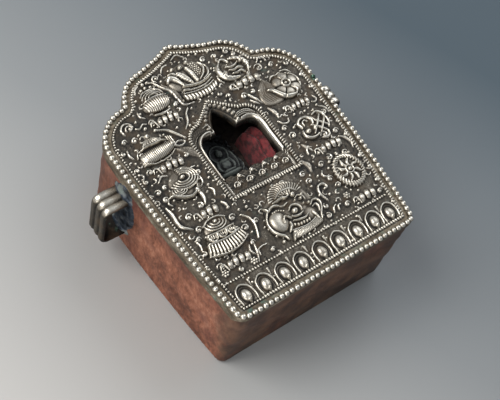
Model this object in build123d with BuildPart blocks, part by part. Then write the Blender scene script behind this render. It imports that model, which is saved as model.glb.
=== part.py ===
from build123d import *
import math
import os

os.makedirs("parts", exist_ok=True)

# A ghau, a travelling shrine box, lying on its back. +Z comes out of the chased silver face, +Y runs
# up to the apex and the origin is the centre of the back. Lengths are in millimetres.

# Outline of the case
shoulder_width = 96.4
foot_width = 84.8
body_height = 116.6
shoulder_radius = 16.9
crown_height = 19.0
side_bow = 1.1
foot_corner_radius = 3.6
cusp_radius = 2.0
apex_radius = 2.4

# Depth and sheet metal
case_depth = 45.8
copper_sheet = 0.8
silver_sheet = 0.8
back_lip_height = 2.2
back_edge_bevel = 1.2
tray_wall_height = 12.0
tray_fit_gap = 0.15
rim_band_height = 3.8
rim_band_sheet = 0.5

# Beaded and milled wires
bead_diameter = 2.3
bead_gap = 0.12
bead_height = 1.8
bead_inset = 0.4
inner_wire_inset = 3.5
inner_wire_width = 1.7
inner_wire_height = 0.9
window_wire_width = 1.8
window_wire_height = 1.1
band_wire_width = 1.2
band_wire_height = 0.9
band_wire_length = 77.0
band_wire_y = -43.6

# Window, its stepped frame and its sill
window_width = 34.0
window_height = 43.0
window_foot_y = -15.6
window_spring_height = 27.7
window_shoulder_radius = 7.2
opening_width = 27.4
opening_height = 29.6
opening_foot_y = -6.6
opening_spring_height = 15.6
opening_shoulder_radius = 4.0
frame_depth = 3.8
frame_flange = 1.4
frame_fit_gap = 0.05
step_widths = (0.7, 1.4)
step_drops = (1.3, 0.6)
sill_width = 29.0
sill_height = 7.4
sill_sheet = 0.7
sill_recess = 1.7
rosette_count = 5
rosette_diameter = 3.4
rosette_height = 1.2

# Chased relief on the face
relief_height = 2.4
low_relief_height = 1.3
relief_taper = 24
pleat_taper = 12
fold_depth = 0.7
petal_count = 9
petal_width = 7.1
petal_height = 7.8
petal_foot_y = -53.7
petal_rim = 1.2
parasol_width = 15.6
parasol_height = 10.4
banner_width = 16.4
banner_height = 15.0
vase_width = 12.6
vase_height = 13.4
fish_width = 14.4
fish_height = 10.6
lotus_width = 17.6
lotus_height = 13.4
flower_radius = 5.3
heart_rise = 0.4
conch_width = 16.6
conch_height = 16.0
whorl_radius = 5.0
whorl_step = 0.9
knot_width = 14.0
knot_height = 13.0
knot_band = 2.0
wheel_width = 12.2
wheel_height = 14.2
wheel_rim = 1.5
hub_radius = 2.0
crest_width = 18.0
crest_height = 18.4
mask_width = 24.0
mask_height = 22.6
seat_height = 4.4
leaf_length = 9.0
leaf_width = 3.4
curl_radius = 1.8
curl_band = 0.8

# Strap loops on the side walls
loop_projection = 10.6
loop_length = 23.4
loop_width = 8.6
loop_centre_y = 11.3
loop_centre_z = 24.0
loop_sheet = 0.7
loop_rib_height = 0.9
loop_rib_count = 3
loop_bend_radius = 3.2
loop_base_sheet = 0.7
loop_base_length = 31.0
loop_base_width = 20.0
loop_base_corner = 4.0

# What the box holds
plaque_width = 19.0
plaque_height = 30.0
plaque_thickness = 7.0
plaque_offset_x = -4.6
plaque_foot_y = -10.0
figure_relief = 5.0
pad_thickness = 21.0
pad_gap = 0.4
cloth_width = 9.6
cloth_length = 27.0
cloth_thickness = 13.0
cloth_gap = 0.3
cloth_foot_y = -11.0

# Worked out from the sizes above
foot_y = -body_height / 2
cusp_x = shoulder_width / 2 - shoulder_radius
cusp_y = foot_y + body_height - crown_height
spring_y = cusp_y - shoulder_radius
plate_back = case_depth - silver_sheet
plate_front = case_depth


def on_face(place_shares):
    """A plane on the silver face, its centre at shares of the half width and half height."""
    x_share, y_share = place_shares
    return Plane(origin=(x_share * shoulder_width / 2, y_share * body_height / 2, plate_front))


def case_outline(inset):
    """The outline of the case as a sketch, drawn in by inset all round."""
    lobe_mid_share = (0.885, 0.368)
    lobe_end_share = (0.645, 0.62)
    ogee_dip_share = (0.288, 0.79)
    side_mid = ((shoulder_width + foot_width) / 4 + side_bow, (foot_y + spring_y) / 2)
    lobe_end = (lobe_end_share[0] * cusp_x, cusp_y + lobe_end_share[1] * crown_height)
    lobe_mid = (lobe_mid_share[0] * cusp_x, cusp_y + lobe_mid_share[1] * crown_height)
    ogee_dip = (ogee_dip_share[0] * cusp_x, cusp_y + ogee_dip_share[1] * crown_height)
    with BuildSketch() as outline:
        with BuildLine():
            Line((0, foot_y), (foot_width / 2, foot_y))
            ThreePointArc((foot_width / 2, foot_y), side_mid, (shoulder_width / 2, spring_y))
            CenterArc((cusp_x, spring_y), shoulder_radius, 0, 90)
            ThreePointArc((cusp_x, cusp_y), lobe_mid, lobe_end)
            ThreePointArc(lobe_end, ogee_dip, (0, cusp_y + crown_height))
            mirror(about=Plane.YZ)
        make_face()
        for side in (0, -1):
            fillet(outline.vertices().group_by(Axis.Y)[0].sort_by(Axis.X)[side], foot_corner_radius)
        fillet(outline.vertices().group_by(Axis.Y)[-1], apex_radius)
        for side in (-1, 1):
            fillet(outline.vertices().sort_by_distance((side * cusp_x, cusp_y))[0], cusp_radius)
        if inset:
            offset(amount=-inset)
    return outline.sketch


def window_outline(inset):
    """The trefoil outline that the milled wire follows, drawn in by inset."""
    ogee_mid_share = (0.46, 0.52)
    apex_inset_share = 1.3
    spring = window_foot_y + window_spring_height
    side_x = window_width / 2 - inset
    radius = window_shoulder_radius - inset
    cusp = (side_x - radius, spring + radius)
    apex_y = window_foot_y + window_height - apex_inset_share * inset
    ogee_mid = (ogee_mid_share[0] * cusp[0], cusp[1] + ogee_mid_share[1] * (apex_y - cusp[1]))
    with BuildSketch() as outline:
        with BuildLine():
            Line((0, window_foot_y + inset), (side_x, window_foot_y + inset))
            Line((side_x, window_foot_y + inset), (side_x, spring))
            CenterArc((cusp[0], spring), radius, 0, 90)
            ThreePointArc(cusp, ogee_mid, (0, apex_y))
            mirror(about=Plane.YZ)
        make_face()
    return outline.sketch


def opening_outline(outset):
    """The keyhole shaped opening in the frame, grown by outset."""
    lobe_foot_share = 0.36
    lobe_mid_share = (0.7, 0.52)
    spring = opening_foot_y + opening_spring_height
    side_x = opening_width / 2 + outset
    radius = opening_shoulder_radius + outset
    lobe_foot = (lobe_foot_share * opening_width / 2 + outset, spring + radius)
    apex_y = opening_foot_y + opening_height + outset
    lobe_mid = (lobe_mid_share[0] * lobe_foot[0], lobe_foot[1] + lobe_mid_share[1] * (apex_y - lobe_foot[1]))
    with BuildSketch() as outline:
        with BuildLine():
            Line((0, opening_foot_y), (side_x, opening_foot_y))
            Line((side_x, opening_foot_y), (side_x, spring))
            CenterArc((side_x - radius, spring), radius, 0, 90)
            Line((side_x - radius, spring + radius), lobe_foot)
            ThreePointArc(lobe_foot, lobe_mid, (0, apex_y))
            mirror(about=Plane.YZ)
        make_face()
    return outline.sketch


def outline_from_shares(width, height, shares):
    """An outline whose corners are shares of a width and a height, listed anticlockwise. The third
    share of a corner bulges the side after it outwards, by that share of the height."""
    corners = [(x_share * width, y_share * height) for x_share, y_share, bulge_share in shares]
    with BuildSketch() as outline:
        with BuildLine():
            for i, (x_share, y_share, bulge_share) in enumerate(shares):
                start, end = corners[i], corners[(i + 1) % len(corners)]
                if bulge_share:
                    SagittaArc(start, end, -bulge_share * height)
                else:
                    Line(start, end)
        make_face()
    return outline.sketch


def raised(width, height, shares, rise, taper=relief_taper):
    """A low boss with the outline that the shares give, its sides leaning in."""
    with BuildPart() as boss:
        with BuildSketch():
            add(outline_from_shares(width, height, shares))
        extrude(amount=rise, taper=taper)
    return boss.part


def pleated(width, height, shares, fold_count):
    """A boss at full relief whose front is folded into fold_count upright pleats."""
    fold = width / fold_count
    crease = relief_height - fold_depth
    with BuildPart() as boss:
        add(raised(width, height, shares, relief_height, pleat_taper))
        with BuildSketch(Plane.XZ):
            with BuildLine():
                points = [(-width / 2, 0), (-width / 2, crease)]
                for i in range(fold_count):
                    left = -width / 2 + i * fold
                    points += [(left + fold / 2, relief_height), (left + fold, crease)]
                Polyline(*points, (width / 2, 0), close=True)
            make_face()
        extrude(amount=height, both=True, mode=Mode.INTERSECT)
    return boss.part


def wire_places(outline, pitch):
    """Places at an even pitch along an outline, each turned along it."""
    wire = outline.face().outer_wire()
    count = round(wire.length / pitch)
    places = []
    for i in range(count):
        at = i * wire.length / count
        point = wire.position_at(at, PositionMode.LENGTH)
        tangent = wire.tangent_at(at, PositionMode.LENGTH)
        turn = math.degrees(math.atan2(tangent.Y, tangent.X))
        places.append(Location((point.X, point.Y, plate_front), (0, 0, turn)))
    return places


def wire(outline_at, inset, width, height):
    """A flat wire on the face, centred on an outline drawn in by inset."""
    with BuildPart() as strip:
        with BuildSketch(Plane.XY.offset(plate_front)):
            add(outline_at(inset - width / 2))
            add(outline_at(inset + width / 2), mode=Mode.SUBTRACT)
        extrude(amount=height)
    return strip.part


def curl_outline():
    """A spiral band of a little over one turn that tightens towards its eye."""
    steps = 7
    eye_share = 0.35
    turn = 420
    outside, inside = [], []
    for i in range(steps + 1):
        angle = math.radians(turn * i / steps)
        radius = curl_radius * (1 - (1 - eye_share) * i / steps)
        inner_radius = radius - curl_band * (1 - eye_share * i / steps)
        outside.append((radius * math.cos(angle), radius * math.sin(angle)))
        inside.append((inner_radius * math.cos(angle), inner_radius * math.sin(angle)))
    with BuildSketch() as outline:
        with BuildLine():
            Polyline(*outside, *reversed(inside), close=True)
        make_face()
    return outline.sketch


outer = case_outline(0)
wall_inside = case_outline(copper_sheet)

# Back plate: a shallow copper pan with a bevelled edge and a lip that the case wall stands on
with BuildPart() as back_plate:
    with BuildSketch():
        add(outer)
    extrude(amount=back_lip_height)
    chamfer(back_plate.edges().group_by(Axis.Z)[0], back_edge_bevel)
    with BuildSketch(Plane.XY.offset(copper_sheet)):
        add(wall_inside)
    extrude(amount=back_lip_height, mode=Mode.SUBTRACT)

# Tray wall: the upright copper strip soldered inside the pan, which the case slides down over
with BuildPart() as tray_wall:
    with BuildSketch(Plane.XY.offset(copper_sheet)):
        add(case_outline(copper_sheet + tray_fit_gap))
        add(case_outline(2 * copper_sheet + tray_fit_gap), mode=Mode.SUBTRACT)
    extrude(amount=tray_wall_height)

# Case wall: the tall copper strip bent to the outline
with BuildPart() as case_wall:
    with BuildSketch(Plane.XY.offset(back_lip_height)):
        add(outer)
        add(wall_inside, mode=Mode.SUBTRACT)
    extrude(amount=plate_back - back_lip_height)

# Face plate: the silver sheet soldered on the wall, with the window cut out
with BuildPart() as face_plate:
    with BuildSketch(Plane.XY.offset(plate_back)):
        add(outer)
        add(window_outline(window_wire_width / 2), mode=Mode.SUBTRACT)
    extrude(amount=silver_sheet)

# Rim band: the silver skirt that covers the joint between the face and the copper wall
with BuildPart() as rim_band:
    with BuildSketch(Plane.XY.offset(plate_front - rim_band_height)):
        add(case_outline(-rim_band_sheet))
        add(outer, mode=Mode.SUBTRACT)
    extrude(amount=rim_band_height)

# One bead of the edge wire
bead_sides = 6
bead_taper = 22
with BuildPart() as bead:
    with BuildSketch():
        RegularPolygon(bead_diameter / 2, bead_sides, major_radius=False)
    extrude(amount=bead_height, taper=bead_taper)

# Edge beads: the beaded wire round the front edge, each bead joined to the next by its corner
with BuildPart() as edge_beads:
    with Locations(*wire_places(case_outline(bead_inset), bead_diameter + bead_gap)):
        add(bead.part)

# Inner beads: the finer milled wire inside the edge beads
with BuildPart() as inner_beads:
    add(wire(case_outline, inner_wire_inset, inner_wire_width, inner_wire_height))

# Window wire: the milled wire round the window
with BuildPart() as window_wire:
    add(wire(window_outline, 0, window_wire_width, window_wire_height))

# Band wire: the straight milled wire above the lotus petals
with BuildPart() as band_wire:
    with BuildSketch(Plane(origin=(0, band_wire_y, plate_front))):
        Rectangle(band_wire_length, band_wire_width)
    extrude(amount=band_wire_height)

# Niche frame: the stepped moulding that fills the window, with a flange behind the face and a
# shelf for the sill
frame_back = plate_front - frame_depth
shelf_top = plate_front - sill_recess
with BuildPart() as niche_frame:
    with BuildSketch(Plane.XY.offset(frame_back)):
        add(window_outline(window_wire_width / 2 + frame_fit_gap))
    extrude(amount=frame_depth)
    with BuildSketch(Plane.XY.offset(frame_back)):
        add(window_outline(window_wire_width / 2 - frame_flange))
    extrude(amount=frame_depth - silver_sheet)
    with BuildSketch(Plane.XY.offset(frame_back)):
        add(opening_outline(0))
    extrude(amount=frame_depth, mode=Mode.SUBTRACT)
    for step_width, step_drop in zip(step_widths, step_drops):
        with BuildSketch(Plane.XY.offset(plate_front - step_drop)):
            add(opening_outline(step_width))
        extrude(amount=step_drop, mode=Mode.SUBTRACT)
    with BuildSketch(Plane.XY.offset(shelf_top)):
        with Locations((0, opening_foot_y)):
            Rectangle(sill_width, sill_height, align=(Align.CENTER, Align.MAX))
    extrude(amount=sill_recess, mode=Mode.SUBTRACT)

# Niche sill: the embossed strip on the shelf, with a row of rosettes
sill_centre_y = opening_foot_y - sill_height / 2
rosette_sides = 8
with BuildPart() as niche_sill:
    with BuildSketch(Plane(origin=(0, sill_centre_y, shelf_top))):
        Rectangle(sill_width - 2 * frame_fit_gap, sill_height - 2 * frame_fit_gap)
    extrude(amount=sill_sheet)
    with BuildSketch(Plane(origin=(0, sill_centre_y, shelf_top + sill_sheet))):
        with GridLocations(sill_width / rosette_count, 0, rosette_count, 1):
            RegularPolygon(rosette_diameter / 2, rosette_sides)
    extrude(amount=rosette_height, taper=relief_taper)

# Lotus petals: each a horseshoe rim round a raised boss
petal_shares = (
    (-0.5, -0.5, 0), (0.5, -0.5, 0), (0.5, 0.12, 0), (0.3, 0.4, 0),
    (0, 0.5, 0), (-0.3, 0.4, 0), (-0.5, 0.12, 0),
)
petal_boss_share = 0.42
petal_floor_share = 0.5
petal_plane = Plane(origin=(0, petal_foot_y + petal_height / 2, plate_front))
petal_floor = petal_plane.offset(petal_floor_share * low_relief_height)
petal_pitch = band_wire_length / petal_count
with BuildPart() as lotus_petals:
    with Locations(petal_plane):
        with GridLocations(petal_pitch, 0, petal_count, 1):
            add(raised(petal_width, petal_height, petal_shares, low_relief_height))
    with BuildSketch(petal_floor):
        with GridLocations(petal_pitch, 0, petal_count, 1):
            add(outline_from_shares(petal_width - 2 * petal_rim, petal_height - 2 * petal_rim, petal_shares))
    extrude(amount=low_relief_height, mode=Mode.SUBTRACT)
    with Locations(petal_floor):
        with GridLocations(petal_pitch, 0, petal_count, 1):
            add(raised(petal_boss_share * petal_width, petal_boss_share * petal_height, petal_shares,
                       low_relief_height, pleat_taper))

# Parasol: a pleated valance under a low dome
parasol_place_shares = (-0.645, 0.30)
valance_shares = ((-0.5, -0.42, 0), (0, -0.5, 0), (0.5, -0.36, 0), (0.44, 0.06, 0), (-0.4, 0.06, 0))
parasol_dome_shares = ((-0.4, 0.02, 0), (0.42, 0.02, 0), (0.3, 0.34, 0), (0.02, 0.5, 0), (-0.28, 0.34, 0))
parasol_folds = 11
with BuildPart() as parasol:
    with Locations(on_face(parasol_place_shares)):
        add(pleated(parasol_width, parasol_height, valance_shares, parasol_folds))
        add(raised(parasol_width, parasol_height, parasol_dome_shares, low_relief_height))

# Victory banner: two pleated flounces under a dome
banner_place_shares = (-0.612, -0.455)
lower_flounce_shares = ((-0.5, -0.44, 0), (0, -0.5, 0), (0.48, -0.38, 0), (0.46, -0.12, 0), (-0.4, -0.14, 0))
upper_flounce_shares = ((-0.4, -0.18, 0), (0.44, -0.16, 0), (0.4, 0.16, 0), (-0.34, 0.14, 0))
banner_dome_shares = ((-0.3, 0.08, 0), (0.32, 0.1, 0), (0.24, 0.38, 0), (0.02, 0.5, 0), (-0.22, 0.38, 0))
banner_folds = 12
with BuildPart() as victory_banner:
    with Locations(on_face(banner_place_shares)):
        add(pleated(banner_width, banner_height, lower_flounce_shares, banner_folds))
        add(pleated(banner_width, banner_height, upper_flounce_shares, banner_folds))
        add(raised(banner_width, banner_height, banner_dome_shares, low_relief_height))

# Treasure vase: a fluted belly under a plain shoulder and a knop
vase_place_shares = (-0.396, 0.66)
belly_shares = (
    (-0.24, -0.48, 0), (0.24, -0.48, 0), (0.46, -0.2, 0), (0.4, 0.06, 0), (-0.4, 0.06, 0), (-0.46, -0.2, 0),
)
neck_shares = (
    (-0.34, 0.04, 0), (0.34, 0.04, 0), (0.3, 0.2, 0), (0.09, 0.3, 0),
    (0.09, 0.5, 0), (-0.09, 0.5, 0), (-0.09, 0.3, 0), (-0.3, 0.2, 0),
)
vase_folds = 9
neck_taper = 8
with BuildPart() as treasure_vase:
    with Locations(on_face(vase_place_shares)):
        add(pleated(vase_width, vase_height, belly_shares, vase_folds))
        add(raised(vase_width, vase_height, neck_shares, low_relief_height, neck_taper))

# Golden fish: two curved bodies, nose to tail, on a low ground
fish_place_shares = (0.394, 0.622)
fish_shares = ((-0.04, 0.46, 0.62), (-0.04, -0.46, -0.34))
fish_ground_share = 0.5
with BuildPart() as golden_fish:
    with BuildSketch(on_face(fish_place_shares)):
        with PolarLocations(0, 2):
            add(outline_from_shares(fish_width, fish_height, fish_shares))
    extrude(amount=relief_height)
    with BuildSketch(on_face(fish_place_shares)):
        Rectangle(fish_ground_share * fish_width, fish_ground_share * fish_height)
    extrude(amount=low_relief_height)

# Lotus: an open flower with a ring at its heart, beside one broad leaf
lotus_place_shares = (0.64, 0.33)
lotus_leaf_shares = ((-0.2, 0.46, 0), (-0.48, 0.14, 0), (-0.44, -0.24, 0), (-0.06, -0.5, 0), (0, 0, 0))
flower_shift_share = 0.2
flower_petals = 5
heart_share = 0.34
flower_plane = on_face(lotus_place_shares).move(Location((flower_shift_share * lotus_width, 0, 0)))
with BuildPart() as lotus_flower:
    with Locations(on_face(lotus_place_shares)):
        add(raised(lotus_width, lotus_height, lotus_leaf_shares, low_relief_height))
    with BuildSketch(flower_plane):
        with PolarLocations(flower_radius / 2, flower_petals):
            Circle(flower_radius / 2)
    extrude(amount=relief_height)
    with BuildSketch(flower_plane):
        Circle(heart_share * flower_radius)
    extrude(amount=relief_height + heart_rise)
    with BuildSketch(flower_plane.offset(low_relief_height)):
        Circle(heart_share * flower_radius / 2)
    extrude(amount=relief_height, mode=Mode.SUBTRACT)

# Conch: three whorls that step up and grow tighter, over a siphon that points down
conch_place_shares = (-0.606, -0.062)
siphon_shares = (
    (-0.5, 0.04, 0), (-0.3, -0.16, 0), (-0.04, -0.26, 0), (0.04, -0.5, 0),
    (0.16, -0.5, 0), (0.26, -0.14, 0), (0.36, 0.06, 0),
)
whorl_place_shares = (0.02, 0.2)
whorl_size_shares = (1, 0.7, 0.4)
with BuildPart() as conch_shell:
    conch_plane = on_face(conch_place_shares)
    with Locations(conch_plane):
        add(raised(conch_width, conch_height, siphon_shares, relief_height))
    for step, size_share in enumerate(whorl_size_shares):
        with BuildSketch(conch_plane.offset(step * whorl_step)):
            with Locations((whorl_place_shares[0] * conch_width, whorl_place_shares[1] * conch_height)):
                Circle(size_share * whorl_radius)
        extrude(amount=whorl_step, taper=pleat_taper)

# Endless knot: crossed bands inside a closing loop
knot_place_shares = (0.7, -0.062)
knot_reach_share = 0.78
under_band_share = 0.8
with BuildPart() as endless_knot:
    for turn, layer_share in ((45, 1), (-45, under_band_share)):
        with BuildSketch(on_face(knot_place_shares).rotated((0, 0, turn))):
            with GridLocations(0, 2 * knot_band, 1, 3):
                Rectangle(knot_reach_share * knot_height, knot_band)
        extrude(amount=layer_share * relief_height)
    with BuildSketch(on_face(knot_place_shares)):
        Rectangle(knot_width, knot_height)
        Rectangle(knot_width - 2 * knot_band, knot_height - 2 * knot_band, mode=Mode.SUBTRACT)
    extrude(amount=low_relief_height, taper=pleat_taper)

# Wheel: an oval rim, eight spokes and a hub
wheel_place_shares = (0.674, -0.47)
spoke_share = 0.5
with BuildPart() as dharma_wheel:
    with BuildSketch(on_face(wheel_place_shares)):
        Ellipse(wheel_width / 2, wheel_height / 2)
        Ellipse(wheel_width / 2 - wheel_rim, wheel_height / 2 - wheel_rim, mode=Mode.SUBTRACT)
        with PolarLocations(0, 4, angular_range=180):
            Rectangle(wheel_width - wheel_rim, spoke_share * wheel_rim)
    extrude(amount=low_relief_height)
    with BuildSketch(on_face(wheel_place_shares)):
        Circle(hub_radius)
    extrude(amount=relief_height, taper=pleat_taper)

# Jewel crest: flaring drapery over a leafy foot, at the top of the face
crest_place_shares = (0, 0.672)
drapery_shares = (
    (-0.26, -0.3, 0), (0.3, -0.3, 0), (0.48, 0.14, 0), (0.36, 0.38, 0),
    (0.04, 0.5, 0), (-0.3, 0.42, 0), (-0.5, 0.12, 0),
)
crest_foot_shares = (
    (-0.4, -0.36, 0), (-0.28, -0.5, 0), (-0.1, -0.44, 0), (0.04, -0.5, 0),
    (0.18, -0.44, 0), (0.34, -0.5, 0), (0.44, -0.34, 0), (0.3, -0.2, 0), (-0.26, -0.2, 0),
)
crest_folds = 9
with BuildPart() as jewel_crest:
    with Locations(on_face(crest_place_shares)):
        add(pleated(crest_width, crest_height, drapery_shares, crest_folds))
        add(raised(crest_width, crest_height, crest_foot_shares, low_relief_height))

# Guardian mask: a fan crest over cheeks with volutes, and a hatched collar
mask_shift_share = 0.01
mane_shares = (
    (-0.36, 0.1, 0), (0.4, 0.08, 0), (0.42, 0.26, 0), (0.26, 0.42, 0),
    (0, 0.5, 0), (-0.26, 0.4, 0), (-0.38, 0.22, 0),
)
cheek_shares = (
    (-0.28, -0.36, 0), (0.34, -0.32, 0), (0.46, -0.1, 0), (0.42, 0.1, 0),
    (0.3, 0.16, 0), (-0.3, 0.16, 0), (-0.5, 0, 0), (-0.44, -0.2, 0),
)
collar_shares = ((-0.3, -0.5, 0), (0.36, -0.5, 0), (0.36, -0.24, 0), (-0.22, -0.24, 0))
volute_shares = ((-0.3, -0.12, 0.18), (0.34, -0.12, 0.12), (0.02, -0.08, 0.11))
mask_folds = 13
mask_centre = (mask_shift_share * mask_width, (band_wire_y + window_foot_y) / 2, plate_front)
mask_plane = Plane(origin=mask_centre)
with BuildPart() as guardian_mask:
    with Locations(mask_plane):
        add(pleated(mask_width, mask_height, mane_shares, mask_folds))
        add(pleated(mask_width, mask_height, collar_shares, mask_folds))
        add(raised(mask_width, mask_height, cheek_shares, low_relief_height))
    with BuildSketch(mask_plane):
        for x_share, y_share, size_share in volute_shares:
            with Locations((x_share * mask_width, y_share * mask_height)):
                Circle(size_share * mask_width)
    extrude(amount=relief_height, taper=pleat_taper)

# Emblem seats: a ribbed swag under each of the eight emblems, as places and a share of the half width
swag_shares = ((-0.5, 0.3, 0), (-0.34, -0.34, 0), (0, -0.5, 0), (0.34, -0.34, 0), (0.5, 0.3, 0), (0, 0.44, 0))
swag_folds = 6
seat_place_shares = (
    (-0.415, 0.478, 0.28), (0.415, 0.482, 0.32), (0.675, 0.144, 0.25), (-0.622, 0.152, 0.28),
    (-0.59, -0.259, 0.21), (0.664, -0.221, 0.25), (-0.643, -0.645, 0.29), (0.633, -0.664, 0.22),
)
with BuildPart() as emblem_seats:
    for x_share, y_share, width_share in seat_place_shares:
        with Locations(on_face((x_share, y_share))):
            add(pleated(width_share * shoulder_width / 2, seat_height, swag_shares, swag_folds))

# Leaf sprays: the broad leaves chased between the emblems, as places and turns in degrees
leaf_shares = ((-0.5, 0, 0), (-0.12, -0.5, 0), (0.5, 0, 0), (0, 0.4, 0))
leaf_place_shares = (
    (-0.84, -0.24, 105), (-0.47, 0.37, -55), (0.42, -0.31, 70),
    (0.42, 0.33, -70), (-0.4, -0.62, 50), (0.37, -0.66, 40),
)
with BuildPart() as leaf_sprays:
    for x_share, y_share, turn in leaf_place_shares:
        with Locations(on_face((x_share, y_share)).rotated((0, 0, turn))):
            add(raised(leaf_length, leaf_width, leaf_shares, low_relief_height))

# Scroll curls: small spirals that fill the ground, as places and turns in degrees
curl_place_shares = (
    (-0.73, 0.49, 0), (-0.855, 0.35, 90), (-0.27, 0.78, 180), (0.3, 0.765, 40), (0.6, 0.53, 0),
    (0.33, 0.42, 200), (0.46, -0.04, 20), (-0.81, -0.07, 200), (-0.29, -0.34, 0), (0.37, -0.48, 60),
    (-0.77, -0.705, 270), (0.5, -0.36, 130),
)
with BuildPart() as scroll_curls:
    for x_share, y_share, turn in curl_place_shares:
        with BuildSketch(on_face((x_share, y_share)).rotated((0, 0, turn))):
            add(curl_outline())
        extrude(amount=low_relief_height)

# Loop bases: thin plates soldered on the side walls, curved like them
loop_plane = Plane(origin=(0, loop_centre_y, loop_centre_z), x_dir=(0, 1, 0), z_dir=(1, 0, 0))
with BuildPart() as loop_base_right:
    with BuildSketch():
        add(case_outline(-loop_base_sheet))
        add(outer, mode=Mode.SUBTRACT)
    extrude(amount=case_depth)
    with BuildSketch(loop_plane):
        RectangleRounded(loop_base_width, loop_base_length, loop_base_corner)
    extrude(amount=shoulder_width, mode=Mode.INTERSECT)

# Strap loops: a ribbed silver strip bent to a squared U and soldered on its base by both ends
rib_pitch = loop_width / loop_rib_count
rib_top = loop_sheet + loop_rib_height
loop_reach = shoulder_width / 2 + loop_projection - rib_top
loop_half = loop_length / 2 - rib_top
loop_start = shoulder_width / 2 - loop_projection / 2
with BuildPart() as strap_loop_right:
    with BuildLine(Plane.XZ.offset(-loop_centre_y)):
        FilletPolyline(
            (loop_start, loop_centre_z - loop_half),
            (loop_reach, loop_centre_z - loop_half),
            (loop_reach, loop_centre_z + loop_half),
            (loop_start, loop_centre_z + loop_half),
            radius=loop_bend_radius,
        )
    start_point = (loop_start, loop_centre_y, loop_centre_z - loop_half)
    with BuildSketch(Plane(origin=start_point, x_dir=(0, 1, 0), z_dir=(1, 0, 0))):
        with BuildLine():
            points = [(loop_width / 2, 0), (-loop_width / 2, 0)]
            for i in range(loop_rib_count):
                left = -loop_width / 2 + i * rib_pitch
                points.append((left, -loop_sheet))
                points.append((left + rib_pitch / 2, -rib_top))
            Polyline(*points, (loop_width / 2, -loop_sheet), close=True)
        make_face()
    sweep()
    with BuildSketch():
        add(case_outline(-loop_base_sheet))
    extrude(amount=case_depth, mode=Mode.SUBTRACT)

with BuildPart() as loop_base_left:
    add(mirror(loop_base_right.part, about=Plane.YZ, mode=Mode.PRIVATE))

with BuildPart() as strap_loop_left:
    add(mirror(strap_loop_right.part, about=Plane.YZ, mode=Mode.PRIVATE))

# Cloth pad: folded cloth that fills the tray and holds the plaque up behind the window
pad_inset = 2 * copper_sheet + tray_fit_gap + pad_gap
pad_top = copper_sheet + pad_thickness
with BuildPart() as cloth_pad:
    with BuildSketch(Plane.XY.offset(copper_sheet)):
        add(case_outline(pad_inset))
    extrude(amount=pad_thickness)

# Votive plaque: a pressed tablet with a generic seated figure in front of a halo
tablet_shares = (
    (-0.5, -0.5, 0), (0.5, -0.5, 0), (0.5, 0.12, 0), (0.32, 0.38, 0),
    (0, 0.5, 0), (-0.32, 0.38, 0), (-0.5, 0.12, 0),
)
lap_shares = (
    (-0.3, -0.42, 0), (0.3, -0.42, 0), (0.44, -0.32, 0), (0.2, -0.16, 0), (-0.2, -0.16, 0), (-0.44, -0.32, 0),
)
torso_shares = (
    (-0.16, -0.2, 0), (0.16, -0.2, 0), (0.22, 0.1, 0),
    (0.08, 0.16, 0), (-0.08, 0.16, 0), (-0.22, 0.1, 0),
)
head_share = 0.11
head_height_share = 0.2
head_rise_share = 0.7
torso_rise_share = 0.8
halo_share = 0.3
halo_rise_share = 0.2
figure_plane = Plane(origin=(plaque_offset_x, plaque_foot_y + plaque_height / 2, pad_top + plaque_thickness))
with BuildPart() as votive_plaque:
    with Locations(figure_plane.offset(-plaque_thickness)):
        add(raised(plaque_width, plaque_height, tablet_shares, plaque_thickness, 0))
    with Locations(figure_plane):
        add(raised(plaque_width, plaque_height, lap_shares, figure_relief, pleat_taper))
        add(raised(plaque_width, plaque_height, torso_shares, torso_rise_share * figure_relief, pleat_taper))
    for size_share, rise_share in ((halo_share, halo_rise_share), (head_share, head_rise_share)):
        with BuildSketch(figure_plane):
            with Locations((0, head_height_share * plaque_height)):
                Circle(size_share * plaque_width)
        extrude(amount=rise_share * figure_relief)

# Cloth wrap: a roll of crimson cloth tucked beside the plaque, showing its folds in the window
cloth_x = plaque_offset_x + plaque_width / 2 + cloth_gap + cloth_width / 2
cloth_centre = (cloth_x, cloth_foot_y + cloth_length / 2, pad_top)
cloth_folds = 3
fold = cloth_width / cloth_folds
crease_z = cloth_thickness - fold / 2
with BuildPart() as cloth_wrap:
    with BuildSketch(Plane(origin=cloth_centre, x_dir=(1, 0, 0), z_dir=(0, -1, 0))):
        with BuildLine():
            edge = cloth_width / 2
            Polyline((-edge, crease_z), (-edge, 0), (edge, 0), (edge, crease_z))
            for i in range(cloth_folds):
                left = -edge + i * fold
                ThreePointArc((left, crease_z), (left + fold / 2, cloth_thickness), (left + fold, crease_z))
        make_face()
    extrude(amount=cloth_length / 2, both=True)

pieces = {
    "back_plate": back_plate, "tray_wall": tray_wall, "cloth_pad": cloth_pad, "votive_plaque": votive_plaque,
    "cloth_wrap": cloth_wrap, "case_wall": case_wall, "face_plate": face_plate, "rim_band": rim_band,
    "edge_beads": edge_beads, "inner_beads": inner_beads, "window_wire": window_wire, "band_wire": band_wire,
    "niche_frame": niche_frame, "niche_sill": niche_sill, "lotus_petals": lotus_petals, "parasol": parasol,
    "golden_fish": golden_fish, "treasure_vase": treasure_vase, "lotus_flower": lotus_flower,
    "conch_shell": conch_shell, "endless_knot": endless_knot, "victory_banner": victory_banner,
    "dharma_wheel": dharma_wheel, "jewel_crest": jewel_crest, "guardian_mask": guardian_mask,
    "emblem_seats": emblem_seats, "leaf_sprays": leaf_sprays, "scroll_curls": scroll_curls,
    "loop_base_left": loop_base_left, "loop_base_right": loop_base_right,
    "strap_loop_left": strap_loop_left, "strap_loop_right": strap_loop_right,
}
for name, piece in pieces.items():
    piece.part.label = name
    export_step(piece.part, f"parts/{name}.step")
    print(name, "solids", len(piece.part.solids()), "volume", round(piece.part.volume, 1))
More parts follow.
